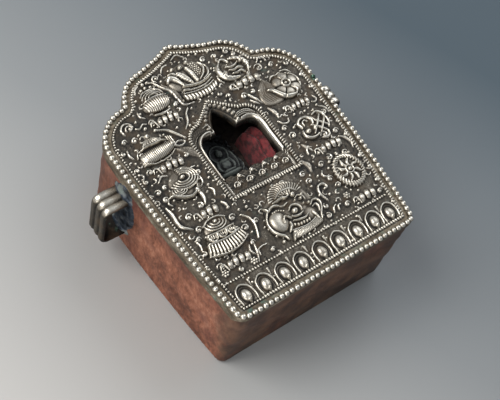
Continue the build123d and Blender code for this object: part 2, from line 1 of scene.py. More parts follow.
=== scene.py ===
# %% [markdown]
# # A ghau, a travelling shrine box
# A ghau is a copper case with a chased silver face and a small window, behind which a votive
# tablet lies in folded cloth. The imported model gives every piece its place, so it is loaded
# first, and each piece made below is laid over the solid that it stands for.

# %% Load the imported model
import math

import bpy
import numpy as np
from mathutils import Matrix, Vector


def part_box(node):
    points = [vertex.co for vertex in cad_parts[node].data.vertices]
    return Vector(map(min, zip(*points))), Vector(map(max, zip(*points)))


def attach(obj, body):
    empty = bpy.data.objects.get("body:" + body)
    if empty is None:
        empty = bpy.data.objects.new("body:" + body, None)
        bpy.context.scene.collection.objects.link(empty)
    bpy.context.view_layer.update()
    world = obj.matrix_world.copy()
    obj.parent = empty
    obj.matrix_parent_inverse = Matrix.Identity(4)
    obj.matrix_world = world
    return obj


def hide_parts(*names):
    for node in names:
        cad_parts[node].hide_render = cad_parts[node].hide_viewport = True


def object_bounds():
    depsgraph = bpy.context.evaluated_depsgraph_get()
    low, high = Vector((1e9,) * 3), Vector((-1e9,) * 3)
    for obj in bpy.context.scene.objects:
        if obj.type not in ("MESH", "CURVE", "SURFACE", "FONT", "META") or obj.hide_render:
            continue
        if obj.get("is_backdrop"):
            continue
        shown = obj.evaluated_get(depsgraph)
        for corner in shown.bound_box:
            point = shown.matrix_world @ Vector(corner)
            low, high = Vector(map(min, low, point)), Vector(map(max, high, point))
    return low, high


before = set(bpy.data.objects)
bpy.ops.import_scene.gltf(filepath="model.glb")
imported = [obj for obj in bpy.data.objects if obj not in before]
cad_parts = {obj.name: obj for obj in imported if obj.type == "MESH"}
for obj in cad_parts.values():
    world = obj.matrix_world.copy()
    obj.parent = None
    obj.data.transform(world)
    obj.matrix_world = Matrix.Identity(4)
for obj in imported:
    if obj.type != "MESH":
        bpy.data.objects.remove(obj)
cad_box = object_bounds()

# %% [markdown]
# ## Camera
# The picture looks down at the box from beyond its left foot corner. A long lens at some
# distance keeps the sides of the case nearly parallel, as in the picture.

# %% Camera
MM = 0.001
CAMERA_PLACE = (-165.62, -130.74, 353.25)  # in millimetres
LENS = 67.74  # focal length in millimetres
camera_right = Vector((0.80070, -0.56568, 0.19718))
camera_up = Vector((0.41952, 0.76445, 0.48951))
camera_data = bpy.data.cameras.new("camera")
camera_data.lens = LENS
camera = bpy.data.objects.new("camera", camera_data)
bpy.context.scene.collection.objects.link(camera)
turned = Matrix((camera_right, camera_up, camera_right.cross(camera_up))).transposed().to_4x4()
camera.matrix_world = Matrix.Translation(Vector(CAMERA_PLACE) * MM) @ turned
bpy.context.scene.camera = camera
print("camera at", [round(v, 3) for v in camera.matrix_world.translation])

# %% [markdown]
# ## Helpers for shaping sheets
# Most of the box is sheet metal, so most pieces start as a flat grid whose corners are moved to
# where the bent sheet has them. A grid keeps its rows and columns, which makes its edges easy
# to find again when they are trimmed, folded down or sewn together.

# %% Sheet helpers
def active(piece):
    """Makes a piece the only one that operators act on."""
    bpy.ops.object.select_all(action="DESELECT")
    piece.select_set(True)
    bpy.context.view_layer.objects.active = piece


def sewn():
    """Joins corners that lie together."""
    bpy.ops.mesh.remove_doubles(threshold=0.00001)


def capped():
    """Closes open ends, each with one face."""
    bpy.ops.mesh.fill_holes(sides=0)


def closed_up(piece, *steps):
    """Does each step in edit mode with all of a piece selected, and then turns its faces outwards."""
    active(piece)
    bpy.ops.object.mode_set(mode="EDIT")
    for step in steps:
        bpy.ops.mesh.select_all(action="SELECT")
        step()
    bpy.ops.mesh.select_all(action="SELECT")
    bpy.ops.mesh.normals_make_consistent(inside=False)
    bpy.ops.object.mode_set(mode="OBJECT")


def placed_at(piece, points):
    """Moves the corners of a piece to points in millimetres."""
    piece.data.vertices.foreach_set("co", (points.reshape(-1, 3) * MM).astype(np.float32).ravel())
    piece.data.update()


def bent_sheet(name, points):
    """A grid with its corners moved to points, in millimetres, by row and column."""
    rows, columns = points.shape[:2]
    bpy.ops.object.select_all(action="DESELECT")
    bpy.ops.mesh.primitive_grid_add(x_subdivisions=columns - 1, y_subdivisions=rows - 1, size=1, calc_uvs=False)
    piece = bpy.context.object
    piece.name = piece.data.name = name
    placed_at(piece, points)
    return piece


def sewn_sheet(name, rows, closed=True):
    """A sheet sewn up where its edges meet. The rows of a closed one run round, each back to its own start."""
    points = np.stack(rows)
    if closed:
        points = np.concatenate((points, points[:, :1]), axis=1)
    piece = bent_sheet(name, points)
    closed_up(piece, sewn)
    return piece


def smooth_shaded(piece, angle=50):
    """Soft shading, with sharp folds kept where faces meet at more than an angle in degrees."""
    active(piece)
    bpy.ops.object.shade_smooth_by_angle(angle=math.radians(angle))
    return piece


def joined(name, pieces):
    """Several pieces made into one."""
    active(pieces[0])
    for piece in pieces:
        piece.select_set(True)
    bpy.ops.object.join()
    pieces[0].name = pieces[0].data.name = name
    return pieces[0]


def clad(piece, finish):
    """Gives a piece one finish all over."""
    piece.data.materials.clear()
    piece.data.materials.append(finish)


def fitted(piece, body, slot, finish, *nodes):
    """Gives a finished piece its finish and its body, and hides the solids that it stands for. Its slot is not used.
    """
    clad(piece, finish)
    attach(piece, body)
    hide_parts(*nodes)
    print(piece.name, len(piece.data.polygons), "faces")
    return piece


def marked(piece, worn):
    """Stores how rubbed each corner of a piece is, with any painted highlight, from 0, tarnished, to 1, bright."""
    values = np.clip(np.broadcast_to(worn, len(piece.data.vertices)), 0, 1).astype(np.float32)
    piece.data.attributes.new("worn", "FLOAT", "POINT").data.foreach_set("value", values)
    return piece


def box_mm(node):
    """The lowest and highest corners of a solid, in millimetres."""
    return [np.array(corner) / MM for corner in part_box(node)]


print("sheets can be bent, sewn and closed")
# %% [markdown]
# ## Curves of the case
# The same few arcs that the solids are built from give the outline here, as an even row of
# points. A line drawn in from it carries the beads, the milled wires and the edge of the face.

# %% Outline helpers
def arc_through(start, middle, end, count=40):
    """Points on the circular arc through three points."""
    (ax, ay), (bx, by), (cx, cy) = start, middle, end
    d = 2 * (ax * (by - cy) + bx * (cy - ay) + cx * (ay - by))
    ux = ((ax**2 + ay**2) * (by - cy) + (bx**2 + by**2) * (cy - ay) + (cx**2 + cy**2) * (ay - by)) / d
    uy = ((ax**2 + ay**2) * (cx - bx) + (bx**2 + by**2) * (ax - cx) + (cx**2 + cy**2) * (bx - ax)) / d
    first, last = math.atan2(ay - uy, ax - ux), math.atan2(cy - uy, cx - ux)
    between = math.atan2(by - uy, bx - ux)
    sweep = (last - first) % (2 * math.pi)
    if (between - first) % (2 * math.pi) > sweep:
        sweep -= 2 * math.pi
    angles = first + sweep * np.linspace(0, 1, count)
    radius = math.hypot(ax - ux, ay - uy)
    return np.column_stack((ux + radius * np.cos(angles), uy + radius * np.sin(angles)))


def evenly(points, spacing=None, count=None, closed=False):
    """The same line with evenly spaced points."""
    points = np.asarray(points, float)
    if closed:
        points = np.vstack((points, points[:1]))
    lengths = np.concatenate(([0], np.cumsum(np.linalg.norm(np.diff(points, axis=0), axis=1))))
    count = count or max(2, int(round(lengths[-1] / spacing)) + (0 if closed else 1))
    at = np.linspace(0, lengths[-1], count, endpoint=not closed)
    return np.column_stack([np.interp(at, lengths, points[:, k]) for k in range(points.shape[1])])


def curve_through(points, spacing):
    """A smooth line through a few points, with points at an even spacing."""
    p = np.asarray(points, float)
    if len(p) == 2:
        return evenly(p, spacing)
    ends = np.vstack((2 * p[0] - p[1], p, 2 * p[-1] - p[-2]))
    t = np.linspace(0, 1, 12, endpoint=False)[:, None]
    parts = []
    for a, b, c, d in zip(ends, ends[1:], ends[2:], ends[3:]):
        second, third = 2 * a - 5 * b + 4 * c - d, 3 * b - a - 3 * c + d
        parts.append(0.5 * (2 * b + (c - a) * t + second * t**2 + third * t**3))
    return evenly(np.vstack((*parts, p[-1:])), spacing)


def eased(points, corner, reach, spacing=0.2):
    """A closed line whose corner nearest a place is rounded off over a reach to each side."""
    points = evenly(points, spacing, closed=True)
    at = int(np.argmin(np.hypot(*(points - corner).T)))
    steps = int(reach / spacing)
    index = (at + np.arange(-steps, steps + 1)) % len(points)
    start, peak, end = points[index[0]].copy(), points[at].copy(), points[index[-1]].copy()
    t = np.linspace(0, 1, len(index))[:, None]
    points[index] = (1 - t) ** 2 * start + 2 * t * (1 - t) * peak + t**2 * end
    return points


def directions(line, closed=True):
    """Which way a line runs at each of its points."""
    return np.roll(line, -1, axis=0) - np.roll(line, 1, axis=0) if closed else np.gradient(line, axis=0)


def normals(line, closed=True):
    """Unit normals to the right of a line, which point out of a closed anticlockwise one."""
    along = directions(line, closed)
    along /= np.linalg.norm(along, axis=1)[:, None]
    return np.column_stack((along[:, 1], -along[:, 0]))


def drawn_in(outline, inset, spacing=0.25, slack=0.04):
    """The line at a distance inside a closed outline, without the loops that corners throw up."""
    outline = evenly(outline, spacing, closed=True)
    moved = outline - inset * normals(outline)
    nearest = np.array([np.hypot(*(outline - point).T).min() for point in moved])
    return evenly(moved[nearest > abs(inset) - slack], spacing, closed=True)


def inside_by(x, y, outline, chunk=4000):
    """How far each place lies inside a closed outline; negative outside it."""
    outline = evenly(outline, 0.3, closed=True)
    flat_x, flat_y = x.ravel(), y.ravel()
    distance = np.empty(flat_x.size)
    for start in range(0, flat_x.size, chunk):
        part = slice(start, start + chunk)
        dx = flat_x[part, None] - outline[:, 0]
        dy = flat_y[part, None] - outline[:, 1]
        distance[part] = np.sqrt((dx * dx + dy * dy).min(1))
    crossings = np.zeros(flat_x.size, bool)
    for (ax, ay), (bx, by) in zip(outline, np.roll(outline, -1, axis=0)):
        if ay != by:
            spans = (ay > flat_y) != (by > flat_y)
            crossings ^= spans & (flat_x < (bx - ax) * (flat_y - ay) / (by - ay) + ax)
    return np.where(crossings, distance, -distance).reshape(x.shape)


def mirrored(*half):
    """A half outline and its mirror image, as one closed line."""
    half = np.vstack(half)
    return np.vstack((half, half[::-1] * (-1, 1)))


def waves(x, y, size, seed):
    """A smooth uneven field of about -1 to 1, whose swells are about a size in millimetres."""
    dice = np.random.default_rng(seed)
    total = np.zeros(np.broadcast(x, y).shape)
    for _ in range(9):
        turn, phase = dice.uniform(0, 2 * math.pi, 2)
        reach = size * dice.uniform(0.7, 1.6)
        total += np.sin(2 * math.pi * (x * math.cos(turn) + y * math.sin(turn)) / reach + phase)
    return total / 4


print("lines can be drawn")

# %% Outline of the case and of the window
EIGHTH = math.sqrt(0.5)
foot_y, spring_y, cusp_y, apex_y = -58.3, 22.4, 39.3, 58.3
foot_half, belly_half, spring_half, cusp_half = 42.4, 46.4, 48.2, 31.3
shoulder, crown = 16.9, apex_y - cusp_y
cusp, ogee = (cusp_half, cusp_y), (0.645 * cusp_half, cusp_y + 0.62 * crown)
half_outline = np.vstack((
    [(0, foot_y)],
    arc_through((foot_half, foot_y), (belly_half, (foot_y + spring_y) / 2), (spring_half, spring_y)),
    arc_through((spring_half, spring_y), (cusp_half + shoulder * EIGHTH, spring_y + shoulder * EIGHTH), cusp),
    arc_through(cusp, (0.885 * cusp_half, cusp_y + 0.368 * crown), ogee),
    arc_through(ogee, (0.288 * cusp_half, cusp_y + 0.79 * crown), (0, apex_y)),
))
case_line = mirrored(half_outline)
for corner, reach in (((foot_half, foot_y), 3.6), ((-foot_half, foot_y), 3.6), ((0, apex_y), 1.4),
                      (cusp, 1.6), ((-cusp_half, cusp_y), 1.6)):
    case_line = eased(case_line, corner, reach)
case_line = evenly(case_line, count=900, closed=True)

window_half, window_foot, window_spring, window_peak = 17, -15.6, 12.1, 27.4
neck_half, neck_y, neck_round = 9.8, 19.3, 7.2
window_line = mirrored(
    [(0, window_foot), (window_half, window_foot), (window_half, window_spring)],
    arc_through((window_half, window_spring), (neck_half + neck_round * EIGHTH, window_spring + neck_round * EIGHTH),
                (neck_half, neck_y)),
    arc_through((neck_half, neck_y), (0.46 * neck_half, neck_y + 0.52 * 8.1), (0, window_peak)),
)
opening_half, opening_foot, opening_spring, opening_neck, opening_peak = 13.7, -6.6, 9.0, 13.0, 23.0
opening_line = mirrored(
    [(0, opening_foot), (opening_half, opening_foot), (opening_half, opening_spring)],
    arc_through((opening_half, opening_spring), (9.7 + 4 * EIGHTH, 9 + 4 * EIGHTH), (9.7, opening_neck)),
    [(4.93, opening_neck)],
    arc_through((4.93, opening_neck), (3.45, 18.2), (0, opening_peak)),
)
print("outline of", len(case_line), "points")

# %% [markdown]
# ## Writing finishes
# A finish is a small graph of shader nodes. Numbers that vary over a surface are wrapped, so
# that ordinary Python sums add the Math nodes, and one method adds any other node.

# %% Finish helpers
class Amount:
    """A number that varies over a surface."""

    def __init__(self, finish, socket):
        self.finish, self.socket = finish, socket

    def _sum(self, operation, first, second=0.0, clamp=False):
        return self.finish.node("ShaderNodeMath", {"operation": operation, "use_clamp": clamp}, {0: first, 1: second})

    def __add__(self, other):
        return self._sum("ADD", self, other)

    def __sub__(self, other):
        return self._sum("SUBTRACT", self, other)

    def __rsub__(self, other):
        return self._sum("SUBTRACT", other, self)

    def __mul__(self, other):
        return self._sum("MULTIPLY", self, other)

    def __pow__(self, other):
        return self._sum("POWER", self, other)

    __radd__ = __add__
    __rmul__ = __mul__

    def clipped(self):
        return self._sum("ADD", self, 0.0, clamp=True)

    def between(self, low, high):
        """0 at low, 1 at high, and a smooth rise from one to the other."""
        settings = {"interpolation_type": "SMOOTHSTEP"}
        return self.finish.node("ShaderNodeMapRange", settings, {0: self, 1: low, 2: high, 3: 0.0, 4: 1.0})


class Finish:
    """A material and the nodes that vary it."""

    def __init__(self, name, **fixed):
        self.material = bpy.data.materials.new(name)
        self.material.use_nodes = True
        self.tree = self.material.node_tree
        self.shader = self.tree.nodes["Principled BSDF"]
        self.place = None
        for socket, value in fixed.items():
            self.shader.inputs[socket.replace("_", " ")].default_value = value

    def node(self, kind, settings, inputs, output=0):
        made = self.tree.nodes.new(kind)
        for name, value in settings.items():
            if name == "stops":
                ramp = made.color_ramp
                while len(ramp.elements) < len(value):
                    ramp.elements.new(0.5)
                for element, (position, colour) in zip(ramp.elements, value):
                    element.position, element.color = position, (*colour, 1)
            else:
                setattr(made, name, value)
        for name, value in inputs.items():
            if isinstance(value, Amount):
                self.tree.links.new(value.socket, made.inputs[name])
            else:
                made.inputs[name].default_value = value
        return Amount(self, made.outputs[output])

    def object_place(self):
        if self.place is None:
            self.place = self.node("ShaderNodeTexCoord", {}, {}, "Object")
        return self.place

    def noise(self, size, detail=3.0, rough=0.55, stretch=(1, 1, 1)):
        """Soft cloudy noise whose patches are about a size in millimetres."""
        place = self.object_place()
        if stretch != (1, 1, 1):
            place = self.node("ShaderNodeMapping", {}, {"Vector": place, "Scale": stretch})
        inputs = {"Vector": place, "Scale": 1 / (size * MM), "Detail": detail, "Roughness": rough}
        return self.node("ShaderNodeTexNoise", {}, inputs)

    def along(self, axis):
        """The place along an axis of the box, in millimetres."""
        return self.node("ShaderNodeSeparateXYZ", {}, {0: self.object_place()}, axis) * 1000.0

    def attribute(self, name):
        return self.node("ShaderNodeAttribute", {"attribute_name": name}, {}, "Fac")

    def ramp(self, amount, *stops):
        return self.node("ShaderNodeValToRGB", {"stops": stops}, {0: amount})

    def mixed(self, amount, first, second):
        """One colour where amount is 0 and the other where it is 1."""
        first, second = [c if isinstance(c, Amount) else (*c, 1) for c in (first, second)]
        return self.node("ShaderNodeMix", {"data_type": "RGBA"}, {0: amount, 6: first, 7: second}, 2)

    def made(self, colour, roughness=None, metallic=None, bump=None):
        """The material, with what varies linked. Bump is an amount, its height in millimetres and its strength."""
        if bump:
            amount, height, strength = bump
            bump = self.node("ShaderNodeBump", {}, {"Height": amount, "Distance": height * MM, "Strength": strength})
        for socket, amount in (("Base Color", colour), ("Roughness", roughness), ("Metallic", metallic),
                               ("Normal", bump)):
            if amount:
                self.tree.links.new(amount.socket, self.shader.inputs[socket])
        return self.material


print("finishes can be written")

# %% [markdown]
# ## Silver
# Old silver is bright only where hands and cloth rub it. In the hollows it keeps a brown-black
# tarnish, and between the two it passes through a warm grey. Each chased piece stores how proud
# each spot is, and the finish turns that into colour, metal and gloss, broken up by cloudy
# noise so that no two bosses wear alike.

# %% Silver finish
TARNISH, SHADE, GREY, BRIGHT = (0.008, 0.007, 0.005), (0.070, 0.059, 0.044), (0.28, 0.25, 0.205), (0.74, 0.70, 0.61)
VERDIGRIS = (0.085, 0.150, 0.115)


def near(finish, x, y, reach):
    """1 at a place across the face, and 0 beyond a reach in millimetres."""
    across, up = finish.along("X") - x, finish.along("Y") - y
    return 1.0 - ((across * across + up * up) ** 0.5).between(reach * 0.7, reach)


def silver(name, lift=0.0, fine=0.45, green_share=0.3):
    """Rubbed and tarnished silver. Lift brightens all of it, and fine is the size of its pits in millimetres."""
    finish = Finish(name, IOR=1.5)
    worn = finish.attribute("worn")
    clouds, pits = finish.noise(7.0, 4.0), finish.noise(fine, 2.0)
    # The stored number also carries painted highlights: the tops of the strap loops and the right lip of the window.
    rubbed = (worn + (clouds - 0.5) * 0.5 + (pits - 0.5) * 0.45 + lift).clipped()
    colour = finish.ramp(rubbed, (0.08, TARNISH), (0.36, SHADE), (0.62, GREY), (0.92, BRIGHT))
    warm = finish.noise(5.5, 3.0).between(0.50, 0.68) * (1.0 - rubbed)
    colour = finish.mixed(warm * 0.75, colour, (0.088, 0.060, 0.034))
    green = finish.noise(3.4, 3.0).between(0.64, 0.72) * (1.0 - rubbed) + near(finish, 46.9, 16.4, 1.5) * 1.6
    colour = finish.mixed((green * green_share).clipped(), colour, VERDIGRIS)
    return finish.made(colour, 0.62 - rubbed * 0.34, 0.35 + rubbed * 0.6, (pits, 0.05, 0.5))


chased_silver = silver("chased_silver")
wire_silver = silver("wire_silver", 0.05, 0.6, 0.7)

skirt = Finish("skirt_silver", IOR=1.5)
stain, grime = skirt.noise(9.0, 4.0, 0.6, (1, 1, 2)), skirt.noise(0.9, 3.0)
colour = skirt.ramp(stain * 0.7 + grime * 0.3, (0.34, (0.060, 0.045, 0.031)), (0.5, (0.190, 0.155, 0.108)),
                    (0.66, (0.42, 0.37, 0.29)))
corner = skirt.noise(4.0, 3.0).between(0.56, 0.68) * (0.35 + near(skirt, -44, -54, 16) * 0.65)
skirt_silver = skirt.made(skirt.mixed(corner, colour, VERDIGRIS), 0.42 + grime * 0.3, 0.85 - corner * 0.6,
                          (stain * 0.5 + grime * 0.5, 0.12, 0.6))
print("silver finishes made")

# %% [markdown]
# ## Copper
# The case is hammered copper gone brown: a warm red-brown, with purple patches where hands and
# smoke darkened it. Painted shade darkens it under the silver skirt and towards the apex, and the
# side at the foot is painted near-black as shade, brown in places.

# %% Copper finish
copper = Finish("aged_copper", IOR=1.5)
broad, middling = copper.noise(26.0, 4.0, 0.6), copper.noise(8.0, 5.0, 0.65, (1, 1, 0.7))
scratches, grains = copper.noise(1.6, 5.0, 0.7, (1, 1, 0.5)), copper.noise(0.7, 2.0)
patches = (broad * 0.40 + middling * 0.32 + scratches * 0.28).between(0.34, 0.68)
warm = copper.ramp(patches, (0.0, (0.085, 0.036, 0.026)), (0.3, (0.225, 0.088, 0.054)),
                   (0.65, (0.43, 0.180, 0.112)), (1.0, (0.64, 0.330, 0.215)))
purple = copper.noise(13.0, 3.0).between(0.52, 0.72)
# Painted shade: the wall is darkened towards its top, under the silver skirt; the purple patches mixed in with it are
# the copper's own patina.
skirt_shade = copper.along("Z").between(29.0, 41.0) * (0.3 + middling * 0.5)
# Painted shade: the side at the foot, turned away from the main lamp, is painted near-black with brown streaks, more
# so low down.
foot_shade = (copper.along("Y") * -1.0 + (broad - 0.5) * 30.0).between(50.0, 58.0)
purple_and_skirt_shade = (purple * 0.45 + skirt_shade * 0.6).clipped() * (1.0 - foot_shade * 0.8)
warm = copper.mixed(purple_and_skirt_shade, warm, (0.135, 0.052, 0.050))
low_down = 1.0 - copper.along("Z").between(3.0, 30.0)
foot_shade_colour = copper.mixed(middling.between(0.40, 0.62), (0.030, 0.018, 0.011), (0.105, 0.060, 0.034))
warm = copper.mixed(foot_shade * (0.82 + low_down * 0.12), warm, foot_shade_colour)
# Painted shade: the upper half of the sides, towards the apex, is painted darker.
warm = copper.mixed(copper.along("Y").between(6.0, 40.0) * 0.5, warm, (0.070, 0.036, 0.026))
aged_copper = copper.made(warm, 0.42 + middling * 0.3, 0.75 - foot_shade * 0.35,
                          (middling * 0.5 + scratches * 0.2 + grains * 0.3, 0.25, 0.6))
print("copper finish made")

# %% [markdown]
# ## Solder, clay and cloth
# The strap loops are bedded in dull blue-grey solder. Behind the window lie a dark pressed-clay
# tablet, a roll of crimson silk and the plain cloth that packs the box.

# %% Other finishes
solder = Finish("grey_solder", IOR=1.5)
lumps, crust = solder.noise(5.0, 3.0), solder.noise(1.4, 3.0)
colour = solder.ramp(lumps, (0.38, (0.010, 0.012, 0.016)), (0.52, (0.050, 0.066, 0.090)), (0.66, (0.26, 0.265, 0.27)))
green = solder.noise(5.0, 3.0).between(0.55, 0.68)
grey_solder = solder.made(solder.mixed(green * 0.55, colour, (0.055, 0.105, 0.080)), 0.36 + crust * 0.3,
                          0.7 - green * 0.4, (lumps * 0.7 + crust * 0.3, 0.25, 0.6))

clay = Finish("dark_clay")
smoke = clay.noise(2.6, 4.0)
# Painted highlight: the proud parts of the tablet's relief are painted lighter, as light catching them.
edges = clay.attribute("worn") * 0.75 + smoke * 0.35
colour = clay.ramp(edges, (0.34, (0.006, 0.007, 0.008)), (0.6, (0.024, 0.028, 0.029)), (0.90, (0.15, 0.17, 0.155)))
dark_clay = clay.made(colour, 0.45 + smoke * 0.3, bump=(smoke, 0.2, 0.7))


def cloth_finish(name, dark, light, thread):
    """Woven cloth whose threads are a given size in millimetres."""
    cloth = Finish(name, Sheen_Weight=0.3, Sheen_Roughness=0.4)
    warp, weft = [cloth.node("ShaderNodeMath", {"operation": "SINE"}, {0: cloth.along(axis) * (6.283 / thread)})
                  for axis in "XY"]
    weave, fade = warp * weft * 0.5 + 0.5, cloth.noise(3.0, 4.0)
    shade = cloth.mixed(((weave - 0.5) * 0.5 + fade.between(0.34, 0.62)).clipped(), dark, light)
    shade = cloth.mixed(cloth.noise(1.1, 3.0).between(0.50, 0.70) * 0.5, shade, (0.085, 0.070, 0.065))
    return cloth.made(shade, 0.75 + fade * 0.2, bump=(weave * 0.5 + fade * 0.5, 0.14, 0.8))


crimson_cloth = cloth_finish("crimson_cloth", (0.052, 0.013, 0.014), (0.27, 0.040, 0.045), 0.6)
packing_cloth = cloth_finish("packing_cloth", (0.020, 0.014, 0.012), (0.085, 0.060, 0.048), 0.8)
print("solder, clay and cloth finishes made")

# %% [markdown]
# ## Chasing the silver
# A chaser works the sheet from both sides: broad forms are swelled up from behind, then lines,
# flutes and curls are set down from the front. No primitive has such a surface, so the sheet
# is a fine grid that is raised stroke by stroke in the same way. A form swells, a ridge is a
# raised line, a boss a round blow and a curl a ridge that winds to a bead. The finished piece
# is trimmed to the form, folded down at its edge and closed behind.

# %% The chasing tools
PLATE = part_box("face_plate")[1].z / MM
FIELD_FOOT = -56.9
CUT = 0.03  # a sheet is trimmed where it rises less, in millimetres
HALF_CELL = 0.71  # half the diagonal of a cell of the grid, in steps


def on_plate(x, y, height):
    """Where a spot of the chased face lies on the box, in millimetres."""
    return x, y + FIELD_FOOT, PLATE + height


def filled_out(cells):
    """Adds the two cells beside each corner at which two others meet, where the fill of the underside would go wrong.
    Such cells lie under the ground."""
    a, b, c, d = cells[:-1, :-1], cells[:-1, 1:], cells[1:, :-1], cells[1:, 1:]
    meeting = a & d & ~(b | c) | b & c & ~(a | d)
    while meeting.any():
        for corner in (a, b, c, d):
            corner |= meeting
        meeting = a & d & ~(b | c) | b & c & ~(a | d)
    return cells


def out_from(x, y, turn, wide, tall=None):
    """The place out from a middle at a turn in radians, on a circle or an ellipse."""
    return x + wide * np.cos(turn), y + (wide if tall is None else tall) * np.sin(turn)


def arc(x, y, wide, tall, start, end, count):
    """Points on an ellipse from one turn to another, in degrees."""
    return np.column_stack(out_from(x, y, np.radians(np.linspace(start, end, count)), wide, tall))


def domed(u, power=2):
    """A rounded height that is 1 in the middle, where u is 0, and falls to 0 where u is 1."""
    return np.sqrt(np.clip(1 - u**power, 0, 1))


class Chasing:
    """Heights in millimetres over the silver plate. Places are across the face and up from the foot of the field."""

    def __init__(self, left, right, low, high, step=0.2):
        self.step = step
        self.x, self.y = np.meshgrid(np.arange(left, right + step / 2, step), np.arange(low, high + step / 2, step))
        self.form, self.work, self.grain, self.rub = [np.zeros_like(self.x) for _ in range(4)]

    def near(self, points, reach):
        low, high = points.min(0) - reach, points.max(0) + reach
        rows = slice(*np.searchsorted(self.y[:, 0], (low[1], high[1])))
        return rows, slice(*np.searchsorted(self.x[0], (low[0], high[0])))

    def ridge(self, points, width, height):
        """A round-backed raised line. Widths are evenly spread from its start to its end."""
        line = curve_through(points, self.step * 0.6)
        widths = np.atleast_1d(width).astype(float)
        half = np.interp(np.linspace(0, 1, len(line)), np.linspace(0, 1, len(widths)), widths) / 2
        part = self.near(line, half.max())
        x, y = self.x[part], self.y[part]
        if x.size == 0:
            return
        u = np.full(x.shape, 9.0)
        rise = np.zeros(x.shape)
        for (px, py), h in zip(line, half):
            away = ((x - px) ** 2 + (y - py) ** 2) / (h * h)
            closer = away < u
            u[closer] = away[closer]
            rise[closer] = h
        profile = height * np.sqrt(np.clip(1 - u, 0, 1)) * (0.45 + 0.55 * rise / half.max())
        self.work[part] = np.maximum(self.work[part], profile)

    def groove(self, points, width, depth):
        """A chased line, sunk into the work."""
        line = curve_through(points, self.step * 0.6)
        part = self.near(line, width)
        x, y = self.x[part], self.y[part]
        u = np.full(x.shape, 9.0)
        for px, py in line:
            u = np.minimum(u, ((x - px) ** 2 + (y - py) ** 2) / (width / 2) ** 2)
        self.grain[part] = np.minimum(self.grain[part], -depth * np.clip(1 - u, 0, 1))

    def oval(self, x, y, wide, tall, turn=0.0):
        turn = math.radians(turn)
        across = (self.x - x) * math.cos(turn) + (self.y - y) * math.sin(turn)
        up = (self.y - y) * math.cos(turn) - (self.x - x) * math.sin(turn)
        return np.sqrt((across / (wide / 2)) ** 2 + (up / (tall / 2)) ** 2)

    def boss(self, x, y, wide, tall=None, height=1.0, turn=0.0):
        """A round or oval blow."""
        self.work = np.maximum(self.work, height * domed(self.oval(x, y, wide, tall or wide, turn)))

    def bosses(self, height, wide, *places):
        for x, y in places:
            self.boss(x, y, wide, height=height)

    def ring(self, x, y, across, width, height, squash=1.0, turn=0.0):
        """A round raised line about a hollow."""
        away = np.abs(self.oval(x, y, across, across * squash, turn) - 1) * across / width
        self.work = np.maximum(self.work, height * domed(away))

    def swell(self, x, y, wide, tall, height, turn=0.0, flat=2.0):
        """A broad form pushed up from behind; a larger flat gives it a flatter top."""
        self.form = np.maximum(self.form, height * domed(self.oval(x, y, wide, tall, turn), flat))

    def field(self, outline, height, edge=1.2):
        """A raised form with a drawn outline, rounded over an edge."""
        line = curve_through([*outline, outline[0]], 0.4)
        part = self.near(line, 0.5)
        depth = np.clip(inside_by(self.x[part], self.y[part], line[:-1]), 0, edge) / edge
        self.form[part] = np.maximum(self.form[part], height * np.sqrt(1 - (1 - depth) ** 2))

    def curl(self, x, y, radius, start, sweep, width=0.75, height=1.0, bead=0.42):
        """A scroll that winds in to a bead. Its start and sweep are in degrees."""
        t = np.linspace(0, 1, 14)
        wound = np.column_stack(out_from(x, y, np.radians(start + sweep * t), radius * (1 - 0.55 * t)))
        self.ridge(wound, (width * 0.6, width, width, width * 0.7), height)
        self.boss(x, y, bead * 2 * radius ** 0.5, height=height * 1.1)

    def flutes(self, first, second, count, height, fill=0.85, bow=(0, 0)):
        """Round ribs side by side from one line to another, bowed sideways at the middle."""
        a, b = evenly(curve_through(first, 0.2), count=count), evenly(curve_through(second, 0.2), count=count)
        wide = [np.linalg.norm(np.diff(side, axis=0), axis=1).mean() * fill for side in (a, (a + b) / 2, b)]
        for start, end in zip(a, b):
            self.ridge([start, (start + end) / 2 + bow, end], (max(wide[0], 0.3), wide[1], max(wide[2], 0.3)), height)

    def beads(self, points, pitch, size, height):
        """A row of small beads."""
        for x, y in evenly(curve_through(points, 0.1), pitch):
            self.boss(x, y, size, height=height)

    def height(self):
        return self.form + self.work + self.grain

    def worn(self):
        """How rubbed each spot is, with any painted highlight added: proud spots are bright and hollows stay dark."""
        height = self.height()
        soft = height
        for reach in (0.5, 0.9):
            n = max(1, int(round(reach / self.step)))
            kernel = np.ones(2 * n + 1) / (2 * n + 1)
            soft = np.pad(soft, n, mode="edge")
            for axis in (0, 1):
                soft = np.apply_along_axis(np.convolve, axis, soft, kernel, "valid")
        return np.clip(0.30 + 1.15 * (height - soft) + 0.17 * height + self.rub, 0, 1)

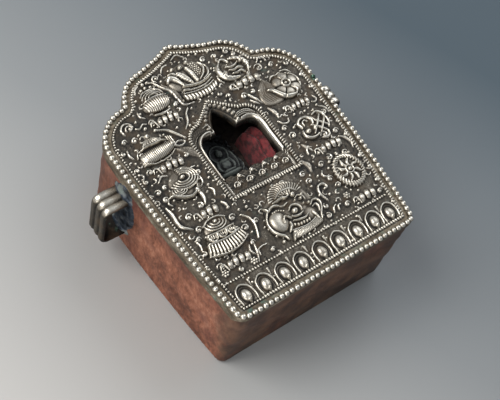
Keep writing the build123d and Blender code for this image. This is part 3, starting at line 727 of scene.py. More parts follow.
    def made(self, name, edge=None, sink=0.5, behind=0.6, place=on_plate):
        """The chased sheet as a closed piece. Edge is how far each spot lies inside the piece's outline, where it has
        one; without it the piece is trimmed to what was raised, and its edge dips under the ground."""
        x, y, height = self.x, self.y, self.height()
        if edge is None:
            kept = height > CUT
            height = np.where(kept, height, -sink)
            whole = filled_out(kept[:-1, :-1] | kept[1:, :-1] | kept[:-1, 1:] | kept[1:, 1:])
        else:
            kept = edge > -HALF_CELL * self.step
            fringe = np.abs(edge) < HALF_CELL * self.step
            up, across = np.gradient(edge, self.step)
            x, y = np.where(fringe, x - across * edge, x), np.where(fringe, y - up * edge, y)
            whole = kept[:-1, :-1] & kept[1:, :-1] & kept[:-1, 1:] & kept[1:, 1:]
        piece = bent_sheet(name, np.dstack((x, y, height)))
        marked(piece, self.worn().ravel())
        for parts in (piece.data.vertices, piece.data.edges):
            parts.foreach_set("select", np.zeros(len(parts), bool))
        piece.data.polygons.foreach_set("select", ~whole.ravel())
        active(piece)
        bpy.ops.object.mode_set(mode="EDIT")
        bpy.ops.mesh.select_mode(type="FACE")
        bpy.ops.mesh.delete(type="FACE")
        bpy.ops.mesh.select_all(action="SELECT")
        bpy.ops.mesh.region_to_loop()
        bpy.ops.mesh.extrude_edges_move()
        bpy.ops.object.mode_set(mode="OBJECT")
        chosen = np.empty(len(piece.data.vertices), bool)
        piece.data.vertices.foreach_get("select", chosen)
        corners = np.empty(len(piece.data.vertices) * 3, np.float32)
        piece.data.vertices.foreach_get("co", corners)
        corners = corners.reshape(-1, 3) / MM
        corners[chosen, 2] = -sink - behind
        placed_at(piece, corners)
        bpy.ops.object.mode_set(mode="EDIT")
        bpy.ops.mesh.fill(use_beauty=False)
        bpy.ops.object.mode_set(mode="OBJECT")
        placed_at(piece, np.column_stack(place(*corners.T)))
        closed_up(piece)
        bpy.ops.object.shade_smooth()
        return piece


def on_face(work, name, *nodes, **how):
    """Cuts a chased sheet out as a silver piece of the case, which stands for its own solid or for others."""
    return fitted(work.made(name, **how), "front_case", "chased_silver", chased_silver, *(nodes or (name,)))


print("silver plate at", round(PLATE, 2), "mm")

# %% [markdown]
# ## The chased ground
# The ground between the emblems is covered with scrolling stems that end in small curls and
# beads, over punched grain. The strokes are listed one by one, from the left foot corner up and
# round, the way the stems run on the face.

# %% Stems and curls of the ground
STEMS = (
    # points, widths, height
    (((-38, 85.3), (-38.4, 87.8), (-36.6, 89.6), (-34.2, 89.2), (-33.4, 87.2)), (0.6, 1.0, 0.7), 1.1),
    (((-33, 86), (-31.4, 85.2), (-29.5, 86.5), (-28, 86)), (0.5, 0.9, 0.5), 1.0),
    (((-26.5, 81.8), (-22.5, 80), (-20, 77), (-17.5, 73.5)), (0.7, 1.3, 0.8), 1.2),
    (((-15, 77), (-12.6, 79.5), (-11, 83), (-9, 85)), (0.6, 1.1, 0.7), 1.1),
    (((-14.5, 101), (-13, 98), (-10.8, 95), (-10.2, 91), (-9.3, 87), (-5, 86.2)), (0.7, 1.0, 0.8, 0.6), 1.1),
    (((-23.5, 72.6), (-21, 73.6), (-18.6, 72.2), (-21, 71.2), (-23.5, 72.6)), 0.7, 1.0),
    (((17, 79), (18.5, 76), (20, 73)), (0.8, 1.2, 0.5), 1.2),
    (((16.3, 76.4), (17.6, 74.4), (19, 73)), (0.6, 1.0, 0.4), 1.0),
    (((12.5, 86.3), (12.2, 84.6), (14.5, 83.5), (16.8, 84)), (0.5, 1.0, 0.6), 1.1),
    (((41.2, 66.5), (42, 64.6), (40.8, 63.2), (39.4, 64)), (0.5, 0.9, 0.5), 1.0),
    (((-41.5, 50.5), (-41, 47), (-41.3, 43), (-40.5, 40.5), (-37.5, 38)), (0.8, 1.6, 1.7, 1.2, 0.6), 1.5),
    (((-18, 34.5), (-16, 32), (-15.5, 29), (-16.3, 26), (-17.5, 23)), (0.6, 1.0, 0.9, 0.6), 1.1),
    (((-21, 16.5), (-20.6, 18.8), (-18.5, 19.5), (-16.5, 19.5)), (0.5, 0.9, 0.5), 1.0),
    (((-23, 14.8), (-22, 17), (-20.8, 21), (-20.4, 24)), (0.5, 0.9, 0.6), 0.9),
    (((-21.8, 46.2), (-21, 48.6), (-22, 50.4)), (0.6, 1.2, 0.5), 1.1),
    (((-21.5, 43), (-20.4, 41), (-20.5, 39)), (0.6, 1.2, 0.5), 1.1),
    (((16.4, 22.6), (15.2, 26.6), (16.2, 29.4), (18.1, 30), (19.6, 29.1), (19.6, 27.8), (18.4, 27.7)),
     (0.6, 1.1, 1.0, 0.9), 1.2),
    (((-23.2, 70.6), (-20.2, 68.2), (-17.2, 64)), (1.2, 4.6, 1.4), 0.75),
    (((-12.4, 99.4), (-9.8, 94), (-8.6, 88.6)), (0.8, 3.2, 1.4), 0.75),
    (((17.8, 42.6), (19.2, 39.6), (18.6, 36.6)), (1.0, 2.6, 0.8), 0.75),
    (((20.6, 69.8), (22.0, 66.8), (22.0, 63.8)), (0.8, 2.2, 0.8), 0.85),
    (((22.4, 48.8), (23.6, 46.6), (24.8, 44.2)), (0.8, 2.2, 0.8), 0.85),
    (((15.5, 17), (16.4, 19), (18, 19.8)), (0.5, 1.0, 0.6), 1.0),
    (((18, 17), (18.6, 19), (20, 19)), (0.5, 0.9, 0.5), 1.0),
    (((25.5, 45.8), (24, 46.8), (22.6, 45.2), (22.3, 43.5)), (0.5, 1.0, 0.6), 1.1),
    (((39, 44.8), (41, 43), (42, 40.2), (41.2, 37.5)), (0.6, 1.0, 0.8, 0.5), 1.1),
    (((20.6, 62.6), (22, 60.4), (24.3, 60.2), (25.2, 61.8)), (0.5, 0.9, 0.6), 1.0),
    (((29.8, 91), (31.6, 92.6), (33.6, 92), (34.2, 90)), (0.5, 1.0, 0.9, 0.5), 1.1),
    (((22.5, 34.8), (21.4, 33.2), (22.4, 31.6), (24, 32)), (0.5, 0.9, 0.5), 1.0),
)
SMALL_STEMS = (
    # points
    ((40.5, 61), (42.6, 59), (43, 56.4)),
    ((-38, 61), (-35.8, 62.8), (-33.4, 62.2)),
    ((-25, 59.5), (-23.5, 61), (-21.5, 61)),
    ((-39.5, 33.5), (-38.9, 31), (-39.4, 28.6)),
    ((-22.5, 22.5), (-23.4, 20), (-22.4, 17.8)),
    ((3.4, 107.2), (1, 109.4), (-2.2, 108.2)),
    ((-5.2, 107), (-7.8, 106.4), (-9.4, 104.4)),
    ((11.6, 88.4), (10.4, 90.6), (10.8, 93)),
    ((25.4, 97.4), (27.4, 96.4), (28.2, 94.2)),
    ((-26.8, 88.6), (-28.4, 90), (-28.2, 92.4)),
    ((-40.6, 74.5), (-41.5, 76.6), (-41, 79)),
    ((36.2, 83), (38.6, 82.4), (40.2, 80.4)),
)
CURLS = (
    # x, y, radius, start, sweep in degrees
    (-35, 87, 1.7, 200, -300), (-36, 81.5, 1.3, 0, 330), (-13, 103, 1.6, 250, -330), (-43, 78.2, 1.0, 90, 300),
    (-42.5, 69.2, 1.0, 200, -300), (-42, 63.7, 1.1, 100, 300), (-25.5, 85.6, 1.3, 180, -300),
    (10, 102.5, 1.3, 30, 320), (15.2, 101.7, 1.2, 200, -300), (21.5, 102, 1.5, 0, 330), (23.2, 99.5, 1.1, 90, -300),
    (29, 88.5, 1.9, 160, -340), (35, 87.5, 1.2, 0, 320), (6.8, 84.7, 1.0, 90, 300), (9.4, 82.4, 1.0, 200, -300),
    (15.2, 79.3, 1.4, 10, 330), (19.6, 79.6, 1.1, 100, -300), (-38.5, 66.4, 1.3, 200, -310),
    (-39.5, 53.5, 1.2, 0, 320), (-40.5, 57.5, 1.2, 120, -300), (-37, 58.2, 1.0, 20, 300), (-22, 58.3, 1.2, 200, 300),
    (-36, 43.2, 1.4, 0, 330), (-29.3, 45.3, 1.3, 90, -300), (-35.5, 36.8, 1.4, 0, 330), (-21.5, 35, 1.5, 0, 330),
    (-19.5, 29, 1.4, 180, -330), (-14.2, 29.4, 1.2, 0, 330), (-37, 20.2, 1.4, 200, -310), (-38, 33.3, 1.1, 0, 300),
    (-39.5, 27.3, 1.1, 100, -300), (22, 54, 1.6, 200, -330), (21, 58.4, 1.3, 0, 320), (40.5, 57.4, 1.3, 90, -320),
    (39.6, 47.4, 1.3, 0, 320), (34, 48.2, 1.6, 180, -320), (14.5, 37.2, 1.3, 30, 320), (15, 33.4, 1.3, 200, -320),
    (24, 37.2, 1.4, 0, 330), (29, 38.6, 1.5, 90, -320), (36.5, 37.2, 1.4, 10, 320), (23.4, 30.2, 1.2, 0, 320),
    (24.6, 26.4, 1.2, 180, -320), (22.5, 17.6, 1.2, 0, 330), (12.5, 17.2, 1.2, 90, -330), (41.5, 33, 1.1, 0, 300),
    (41.3, 27, 1.2, 180, 300), (40.4, 21, 1.2, 90, -300), (38.2, 15.8, 1.1, 0, 300), (-30.6, 15.6, 1.0, 90, 300),
    (-42, 22, 1.0, 0, 300), (-41.5, 15.6, 1.1, 180, -300), (43.6, 50.8, 1.1, 0, 300), (43.9, 70.4, 1.1, 90, 300),
    (43.8, 77.5, 1.1, 0, -300), (41.4, 85.2, 1.2, 90, 300), (-40, 82.6, 1.1, 0, 300), (-23.4, 103.8, 1.1, 90, 300),
    (-5, 110.4, 1.0, 0, 300), (4.6, 110.2, 1.0, 180, -300), (30.5, 94.6, 1.0, 90, -300), (-30, 94.4, 1.0, 0, 300),
    (-16.6, 86.6, 1.1, 90, 300), (-12.2, 88.6, 1.1, 0, 300), (-21.8, 66.8, 1.0, 90, -300),
    (13.6, 90.2, 1.0, 180, -300),
    (-20.6, 22.4, 1.1, 0, 300), (14.2, 21.2, 1.2, 90, 300), (-15.4, 16.2, 1.0, 0, 300), (42.5, 44, 1.0, 0, 300),
)
BUDS = (
    # x, y, size
    (-29.5, 84.3, 1.6), (-26, 97, 1.3), (-27.5, 91, 1.2), (-26.5, 81.9, 1.5), (-18, 79, 1.3), (-12.8, 77.5, 1.2),
    (-33.5, 82.8, 1.2), (-31.2, 88.6, 1.1), (-22.6, 76.4, 1.1), (-15.2, 83.2, 1.2), (-19.5, 54, 1.3),
    (-21.5, 51.5, 1.2),
    (-23.4, 55.2, 1.1), (-20.5, 39.5, 1.5), (-14, 36.2, 1.4), (-18.4, 26.2, 1.1), (-12.9, 25.4, 0.9),
    (-23.6, 26, 1.1),
    (-22.4, 30.6, 1.1), (-17.4, 36.6, 1.1), (6.6, 28.9, 1.2), (18.6, 24.6, 1.3), (14.6, 26.2, 1.0), (25.6, 34.4, 1.2),
    (19.4, 33.6, 1.1), (32.8, 38.8, 1.2), (26.4, 42, 1.2), (18.4, 50.8, 1.2), (19, 56, 1.0), (24.6, 57, 1.1),
    (37, 60.2, 1.2), (33.6, 61.4, 1.1), (28.6, 62, 1.2), (40, 61.6, 1.1), (22.4, 65.2, 1.1), (23.4, 84.2, 1.2),
    (27.2, 84.6, 1.1), (31.8, 84.8, 1.2), (37.6, 84.2, 1.1), (10.4, 97, 1.1), (11.6, 100, 1.1), (18.4, 100.4, 1.2),
    (26.8, 93.2, 1.0), (-7.6, 84.2, 1.1), (-17.2, 103, 1.2), (-20.4, 105, 1.0), (-9.6, 108, 1.1), (9, 106.2, 1.1),
    (14, 105, 1.1), (0, 111.6, 1.1), (-24.6, 78.6, 1.1), (-40.8, 61.2, 1.0), (-39.4, 48.8, 1.1), (-23.6, 49, 1.0),
    (-24.4, 37.2, 1.2), (-27.6, 39.8, 1.1), (-33, 40, 1.1), (-26.6, 17.9, 1.0), (26.6, 15.6, 1.0), (36.4, 41, 1.1),
    (43.4, 62.6, 1.0), (29.4, 58.9, 0.9), (-33.6, 59.8, 1.0), (-36.4, 63.6, 1.1), (-27, 62.4, 1.0),
    (-20.5, 60.2, 1.0),
)
DAISIES = ((-37, 17), (-24.5, 16), (12.2, 95.6), (24.6, 20.8))
PETALS_X = (-35, -26.1, -17.3, -8.7, 0.4, 9.3, 18.2, 26.8, 34.8)
PETALS_TOP = 13.6

ground = Chasing(-48, 48, -1, 116, 0.32)
ground.form += 0.12 * waves(ground.x, ground.y, 14, 3)
ground.grain += 0.10 * waves(ground.x, ground.y, 1.7, 4) * (waves(ground.x, ground.y, 1.3, 5) > 0)
for points, widths, height in STEMS:
    ground.ridge(points, widths, height)
for points in SMALL_STEMS:
    ground.ridge(points, (0.5, 0.9, 0.5), 0.9)
for x, y, radius, start, sweep in CURLS:
    ground.curl(x, y, radius, start, sweep)
for x, y, size in BUDS:
    ground.boss(x, y, size, height=1.15)
for x, y in DAISIES:
    for turn in range(0, 360, 60):
        ground.boss(*out_from(x, y, math.radians(turn), 1.1), 1.0, height=0.9)
    ground.boss(x, y, 1.0, height=1.3)
for vein in range(5):
    ground.groove([(-22.6 + vein, 70.8 - vein * 0.7), (-20.6 + vein * 0.8, 67.4 - vein * 0.2),
                   (-18.2 + vein * 0.5, 64.4)], 0.4, 0.3)
    ground.groove([(-12 + vein * 0.5, 97.6 - vein * 0.2), (-10.8 + vein * 0.6, 93 + vein * 0.3),
                   (-9.4 + vein * 0.4, 89.4)], 0.4, 0.3)
print(len(STEMS) + len(SMALL_STEMS), "stems,", len(CURLS), "curls and", len(BUDS), "buds")

# %% Small low strokes in the room that is left
filler_dice = np.random.default_rng(7)
for x, y in np.column_stack((filler_dice.uniform(-44, 44, 1500), filler_dice.uniform(2.4, 112, 1500))):
    raised = ground.work[ground.near(np.array([(x, y)]), 1.15)]
    from_petal = np.abs(x - np.array(PETALS_X) - 0.003 * x * (y - 3)).min()
    on_petal = y < PETALS_TOP and from_petal < 3.9 - 0.12 * max(0, y - 6)
    if raised.size == 0 or raised.max() > 0.25 or on_petal:
        continue
    first, size = filler_dice.uniform(0, 2 * math.pi), filler_dice.uniform(0.55, 1.05)
    if filler_dice.random() < 0.35 or y < PETALS_TOP:
        ground.boss(x, y, size * 1.1, height=0.75)
    else:
        angles = first + np.linspace(0, filler_dice.uniform(2.4, 4.4), 5)
        ground.ridge(np.column_stack(out_from(x, y, angles, size)), (0.4, 0.62, 0.5), 0.75)
print("share of the ground that is raised:", round(float((ground.work > 0.25).mean()), 2))

# %% Rim and window of the ground
# The sheet dips under the wires of the rim and carries no strokes there.
edge = inside_by(ground.x, ground.y + FIELD_FOOT, case_line)
hole = -inside_by(ground.x, ground.y + FIELD_FOOT, window_line)
ground.form -= np.clip((2.6 - edge) / 1.2, 0, 1) * 0.5
ground.work *= 1 - np.clip((3.4 - edge) / 0.8, 0, 1)
ground.form += 0.12
on_face(ground, "chased_ground", "scroll_curls", "leaf_sprays",
        edge=np.minimum(edge - 1.0, hole + 0.4), sink=0.6, behind=0.1)

# %% [markdown]
# ## Treasure vase and jewel crest
# Each emblem is chased on its own small sheet, so that it can be finer than the ground. The
# vase is a fluted belly under a shoulder of nested arcs, with jewels in its mouth. The crest at
# the top of the face is a spray of flaring leaves over a ringed foot.

# %% Treasure vase
vase = Chasing(-29, -10, 82, 106)
vase.swell(-19.2, 92.2, 13, 7.4, 2.2, 4)
vase.swell(-19, 95.8, 10, 6.2, 1.7)
vase.flutes([(-25, 93.6), (-22, 94.0), (-19, 94.2), (-16, 94.0), (-13.4, 93.8)],
            [(-23.8, 90.0), (-21.4, 89.2), (-19, 88.9), (-16.8, 89.2), (-14.6, 90.0)], 12, 0.6, 0.78)
for reach, rise in ((5.0, 1.0), (3.6, 1.1), (2.2, 1.2)):
    vase.ridge(arc(-19, 95, reach, 0.66 * reach, 8, 172, 8), (0.4, 0.7, 0.4), rise)
vase.ridge([(-24.8, 94.6), (-21.8, 94.7), (-19, 94.9), (-16, 94.7), (-13.4, 94.8)], 0.8, 1.1)
vase.ridge([(-23.6, 97.6), (-21.6, 98.9), (-17.6, 99.1), (-15.4, 97.6), (-14, 95.4)], (0.6, 1.1, 1.1, 0.6), 1.6)
vase.ridge([(-22.6, 87.9), (-19, 87.2), (-15.6, 87.9)], (0.8, 1.5, 0.8), 1.5)
vase.bosses(1.4, 1.7, (-21.6, 100.4), (-19.4, 100.8), (-17.2, 100.3))
vase.boss(-19.5, 102.7, 1.7, 2.0, 1.5)
vase.ridge([(-24.6, 99.6), (-23.6, 101.6), (-21.4, 102.9)], (0.5, 1.0, 0.6), 1.1)
vase.ridge([(-14.6, 99.8), (-15, 101.6), (-16.8, 102.6)], (0.5, 1.0, 0.6), 1.1)
on_face(vase, "treasure_vase")

# %% Jewel crest
crest = Chasing(-13, 12, 84, 110)
crest.field([(-5, 92), (-8.6, 94), (-10.4, 98.6), (-8, 102.6), (-3, 104.6), (3, 104.8), (8, 101.6), (9.2, 96),
             (6.6, 92)], 1.3, 2.0)
crest.ridge([(-10, 98.6), (-8.8, 99.8), (-7, 98.8), (-5.6, 96.4), (-4.8, 94.4)], (1.4, 2.8, 2.6, 1.5, 0.7), 1.7)
crest.ridge([(-8, 101.6), (-6, 101.2), (-4.8, 99)], (0.6, 1.4, 0.6), 1.1)
crest.ridge([(-4.2, 100.2), (-2.8, 98), (-1.2, 95), (-0.8, 93.8)], (2.0, 2.9, 2.2, 1.0), 1.7)
crest.ridge([(0.4, 101.2), (1.2, 98), (1.5, 94)], (1.5, 2.3, 1.7), 1.7)
crest.ridge([(3.2, 94.2), (5.6, 96), (7.4, 99), (6.8, 102)], (0.6, 1.0, 1.0, 0.5), 1.2)
crest.ridge([(4.6, 93.6), (7.4, 95), (8.9, 98), (8.5, 100.6)], (0.6, 1.1, 1.2, 0.6), 1.3)
for hatch in range(7):
    crest.groove([(-5.4 + hatch * 0.44, 99.9 - hatch * 0.9), (-2.6 + hatch * 0.44, 99.3 - hatch * 0.9)], 0.4, 0.34)
    crest.groove([(0, 100.6 - hatch * 0.95), (2.6, 100.2 - hatch * 0.95)], 0.4, 0.34)
    crest.groove([(-9.6 + hatch * 0.62, 100.8 - hatch * 0.75), (-8.2 + hatch * 0.62, 98.2 - hatch * 0.7)], 0.35, 0.3)
for row in range(7):
    crest.beads([(2.6 + row * 0.1, 102.6 - row), (4.6 + row * 0.3, 102.2 - row)], 0.95, 0.75, 0.75)
crest.bosses(1.7, 2.0, (-1.8, 102.4), (2, 103.8), (-5.4, 103.2))
crest.ridge([(-5.4, 93.8), (-2, 92.8), (1.6, 92.4), (5, 92.8), (8, 94)], 1.0, 1.7)
crest.ridge([(-6, 92.4), (-2.4, 91.5), (1.4, 91.2), (5, 91.6), (8.2, 92.8)], 0.8, 1.5)
crest.ridge([(-6.4, 91.2), (-2.8, 90.4), (1.2, 90.1), (4.8, 90.5), (8, 91.6)], 0.7, 1.3)
crest.field([(-7.6, 90.8), (-3, 89.8), (1.2, 89.5), (5, 90), (8.8, 91.2), (8.2, 88.6), (4.6, 87), (0.6, 86.6),
             (-3.8, 87), (-7.2, 88.2)],
            0.9, 1.0)
crest.flutes([(-7, 90.4), (-3, 89.6), (1.2, 89.3), (4.8, 89.8), (8.2, 91)],
             [(-6.6, 88.2), (-3.6, 87.2), (0.6, 86.8), (4.4, 87.2), (7.8, 88.8)],
             11, 0.85, 0.8)
on_face(crest, "jewel_crest")

# %% [markdown]
# ## Golden fish and lotus
# The two fish curl nose to tail round three lines of water. The lotus is a broad veined leaf
# beside an open flower.

# %% Golden fish
fish = Chasing(9, 29, 83, 102)
fish.swell(19, 92.6, 14.5, 10, 0.7, 0)
fish.ridge([(14.4, 97.6), (12.4, 95.2), (12.1, 92.4), (13.6, 89.8), (16, 88.4), (19.2, 88)],
           (0.9, 2.0, 2.6, 2.6, 2.2, 0.9), 2.2)
fish.ring(13.7, 91.4, 1.4, 0.45, 2.5)
fish.boss(13.7, 91.4, 0.8, height=2.5)
fish.ridge([(19.4, 97.8), (22, 97.2), (24.6, 95), (25.4, 92.2), (24.4, 89.4)], (0.9, 2.2, 2.6, 2.2, 0.9), 2.2)
fish.ring(23.6, 94.8, 1.3, 0.45, 2.5)
fish.ridge([(16, 94.6), (18, 93.6), (20.2, 93.8), (22.2, 95)], (0.5, 1.1, 1.1, 0.6), 1.6)
fish.ridge([(16.6, 92.6), (18.6, 91.8), (20.6, 92.2), (22.6, 91.4)], (0.5, 1.1, 1.1, 0.6), 1.6)
fish.ridge([(17.2, 90.6), (19.2, 90.2), (21.2, 90.4), (22.6, 89.2)], (0.5, 1.0, 1.0, 0.6), 1.4)
fish.ridge([(14.2, 97), (15.8, 98.8), (17.6, 98.2), (18.6, 96.4)], (0.6, 1.3, 1.2, 0.6), 1.5)
fish.ridge([(24.4, 89), (23, 87.4), (20.8, 87)], (0.6, 1.3, 0.8), 1.5)
for fin in range(7):
    turn = math.radians(150 + fin * 17)
    for angle, near_y, far_y in ((turn, 4.0, 5.6), (turn - math.pi * 0.95, 3.8, 5.4)):
        fish.groove([out_from(19, 93, angle, 5.0, near_y), out_from(19, 93, angle, 7.0, far_y)], 0.35, 0.3)
on_face(fish, "golden_fish")

# %% Lotus
lotus = Chasing(18, 44, 66, 86)
lotus.field([(26.8, 83), (23.2, 80.4), (20.6, 76.4), (20.2, 72.8), (22, 70.2), (26, 69.4), (30, 70.4), (31, 75),
             (29, 80)], 1.0, 1.4)
for vein in range(5):
    lotus.groove([(26.4 - vein * 0.1, 82 - vein * 0.7), (22.4 + vein * 0.7, 78.4 - vein * 0.4),
                  (21.2 + vein * 1.0, 75),
                  (22.6 + vein * 1.0, 71)], 0.4, 0.16)
lotus.swell(34.4, 75.4, 13.6, 13.4, 1.2, 0, 4)
for turn in range(22, 382, 60):
    lotus.boss(*out_from(34.4, 75.5, math.radians(turn), 3.9), 5.4, 4.4, 0.8, turn)
    between = math.radians(turn) + math.radians(30)
    lotus.groove([out_from(34.4, 75.6, between, 2), out_from(34.4, 75.5, between, 6.4)], 0.6, 0.5)
lotus.ridge([(25.4, 76.6), (27.2, 75.4), (28.8, 73), (30.6, 70.9), (33, 70), (35.8, 69.9)],
            (1.0, 1.8, 1.9, 2.2, 2.0, 0.8), 1.6)
lotus.ridge([(35.4, 70), (37, 71.4), (36.2, 73.4)], (0.7, 1.3, 0.6), 1.2)
lotus.ridge([(37.6, 81), (40, 79), (40.8, 76), (39.8, 72.6)], (0.6, 1.1, 1.2, 0.6), 0.9)
lotus.ring(34.3, 76.3, 3.6, 0.9, 1.3)
lotus.boss(34.3, 76.3, 1.5, height=0.9)
lotus.ridge([(29, 80.4), (31, 82), (33.6, 82)], (0.6, 1.5, 0.8), 1.0)
on_face(lotus, "lotus_flower")

# %% [markdown]
# ## Parasol, conch and banner
# Down the left side come the parasol with its pleated valance, the conch with its whorls drawn
# as nested arcs, and the victory banner: a pleated flounce and three swags under a ringed dome.

# %% Parasol
parasol = Chasing(-41, -21, 66, 84)
parasol.field([(-39.2, 70.4), (-38.6, 73.6), (-35, 75.2), (-29, 75.6), (-24.2, 75.2), (-23.4, 72.2), (-27, 70.2),
               (-33, 69.2), (-37.6, 69)],
              2.3, 2.6)
parasol.swell(-31, 76.4, 11.4, 7.4, 1.4, 0)
for fold in range(20):
    parasol.groove([(-38.2 + fold * 0.75, 75.4), (-38.8 + fold * 0.77, 72.6), (-38.4 + fold * 0.77, 69.4)], 0.42,
                   0.30 if fold < 3 else 0.38)
parasol.ridge([(-37.4, 75.9), (-34, 76.3), (-31, 76.1), (-28, 76.2), (-25, 76)], (0.6, 0.9, 0.9, 0.6), 1.9)
parasol.ridge([(-38.8, 69.6), (-35, 68.8), (-31, 68.6), (-27, 69.4), (-24, 71)], 0.6, 1.3)
parasol.ridge([(-39.4, 73.6), (-38.6, 75.4), (-37.6, 76.2)], (0.6, 1.0, 0.5), 1.5)
parasol.flutes([(-35, 77.2), (-31, 77.4), (-27, 77.2)], [(-32.6, 79.8), (-31, 80.1), (-29.4, 79.8)], 8, 0.7, 0.8)
parasol.boss(-31, 80.9, 2.2, height=2.0)
parasol.flutes([(-24.4, 77.6), (-22.8, 77.2)], [(-24.2, 73), (-22.6, 72.8)], 3, 1.0, 0.8)
on_face(parasol, "parasol")

# %% Conch shell
conch = Chasing(-41, -19, 43, 64)
conch.swell(-29, 57.4, 13.4, 10.4, 1.3, 8)
conch.field([(-38.4, 53.4), (-34, 50.2), (-28.6, 49.4), (-25, 51), (-24.4, 54.6), (-30, 57), (-36, 56)], 1.2, 1.4)
for reach, rise in ((6.2, 1.0), (5.0, 1.15), (3.8, 1.3), (2.6, 1.45)):
    conch.ridge(arc(-29, 58.2, reach, 0.78 * reach, -165, 95, 9), (0.5, 0.9, 0.9, 0.6), rise)
conch.boss(-29.2, 58.4, 2.2, 1.8, 1.9)
conch.ridge([(-38.6, 53.2), (-36, 52.8), (-33, 50.6), (-30, 49.8), (-27, 51.2), (-25.6, 53.4)],
            (0.6, 1.2, 1.3, 1.2, 0.6), 1.5)
for reach in (1.1, 2.1, 3.1):
    conch.ridge(arc(-33, 54.3, reach, 0.75 * reach, 150, 350, 7), (0.4, 0.7, 0.4), 1.1)
conch.ridge([(-27.2, 51.6), (-26.4, 49.4), (-26.4, 47), (-27.4, 44.8)], (1.2, 1.9, 1.7, 0.8), 1.8)
conch.ridge([(-24.6, 57.4), (-22.8, 56.2), (-22.8, 53.6), (-24.4, 52)], (0.6, 1.2, 1.1, 0.6), 1.3)
conch.ridge([(-38.6, 53), (-39.6, 51.4), (-38.6, 50)], (0.5, 0.9, 0.4), 1.1)
on_face(conch, "conch_shell")

# %% Victory banner
banner = Chasing(-41, -19, 21, 42)
banner.field([(-38.4, 25.6), (-36.6, 30.4), (-34.4, 32.6), (-28.4, 32.4), (-24.4, 32), (-22, 29.4), (-21, 25.8),
              (-25, 23.6),
              (-30, 23), (-35, 23.4)], 1.5, 1.6)
banner.swell(-29, 34, 11.6, 8.6, 1.6, 0)
banner.flutes([(-36.6, 29), (-33, 28.4), (-29.4, 28.2), (-26, 28.6), (-22.6, 29.2)],
              [(-38.2, 25), (-33.6, 23.9), (-29.4, 23.6), (-25.4, 24.2), (-21.4, 25.8)], 13, 1.2, 0.78)
banner.ridge([(-38.4, 25), (-34, 23.4), (-29.4, 23), (-25.2, 23.6), (-21.2, 25.4)], 0.7, 1.6)
banner.ridge([(-36.9, 29.1), (-33, 28.5), (-29.4, 28.3), (-26, 28.6), (-22.2, 29.4)], 0.9, 1.7)
for left in (-35.4, -31.4, -27.4):
    banner.ridge([(left, 31.8), (left + 0.6, 29.8), (left + 2, 29.2), (left + 3.4, 29.8), (left + 4, 31.8)], 0.7, 1.6)
    banner.flutes([(left + 0.6, 32), (left + 3.4, 32)], [(left + 1, 30.2), (left + 3, 30.2)], 4, 1.1, 0.7)
banner.ridge([(-35.6, 32.6), (-32, 32), (-29, 31.8), (-26, 32), (-23, 32.4)], 0.8, 1.8)
for reach, rise in ((4.6, 0.8), (3.3, 0.9), (2.0, 1.0)):
    banner.ridge(arc(-28.8, 36.6, reach, reach * 0.8, 175, 365, 9), (0.5, 0.8, 0.5), rise)
banner.ridge([(-33.8, 36.8), (-31.4, 38.2), (-28.8, 38.6), (-26.2, 38.2), (-24, 36.8)], 0.9, 1.4)
banner.boss(-28.8, 36.6, 1.8, height=1.5)
on_face(banner, "victory_banner")

# %% [markdown]
# ## Endless knot, wheel and guardian mask
# On the right are the endless knot and the wheel. Under the window sits the guardian mask, a
# traditional monster face that is mostly volutes, with a fan-shaped crest and a hatched collar.

# %% Endless knot
knot = Chasing(22, 45, 43, 64)
knot.swell(32.6, 53.2, 14.6, 12.6, 0.9, 10)
knot.ridge([(27.2, 54.6), (26.8, 57.2), (28.8, 58.8), (31.2, 58.6), (32.8, 56.6), (32.4, 54.4)],
           (0.9, 1.5, 1.6, 1.5, 1.1), 1.6)
knot.ridge([(28.6, 55), (28.6, 56.8), (30, 57.4), (31, 56.4)], (0.6, 0.9, 0.6), 1.3)
knot.boss(28.5, 52.2, 2.6, 2.2, 1.9, -20)
knot.boss(32.2, 52.4, 2.6, 2.2, 1.9, 20)
knot.ridge([(30.6, 50.2), (33, 52.6), (35.4, 55), (37.8, 57.2)], (0.8, 1.3, 1.3, 0.8), 1.6)
knot.ridge([(33.4, 49.6), (35.6, 51.8), (37.8, 54), (39.4, 55.8)], (0.8, 1.3, 1.3, 0.8), 1.5)
knot.ridge([(38.8, 50.8), (36.4, 53), (34.2, 55.4), (33.4, 57.6)], (0.8, 1.2, 1.2, 0.8), 1.3)
knot.ridge([(36.6, 49), (34.4, 51.2), (31.4, 54.2)], (0.8, 1.2, 0.8), 1.3)
knot.ridge([(35, 58.4), (37.2, 59), (39, 57.6), (39.6, 55.2), (39.4, 52.6), (38.2, 50.4)], (0.8, 1.3, 1.4, 1.3, 0.8),
           1.5)
knot.ridge([(26.6, 53.4), (26.2, 51.2), (27.6, 49.4), (30, 48.8), (32.2, 49.4)], (0.7, 1.3, 1.3, 0.9), 1.4)
knot.ridge([(32.6, 47.2), (34.4, 46.6), (36.2, 47.4), (36.6, 49)], (0.8, 1.5, 1.4, 0.8), 1.5)
on_face(knot, "endless_knot")

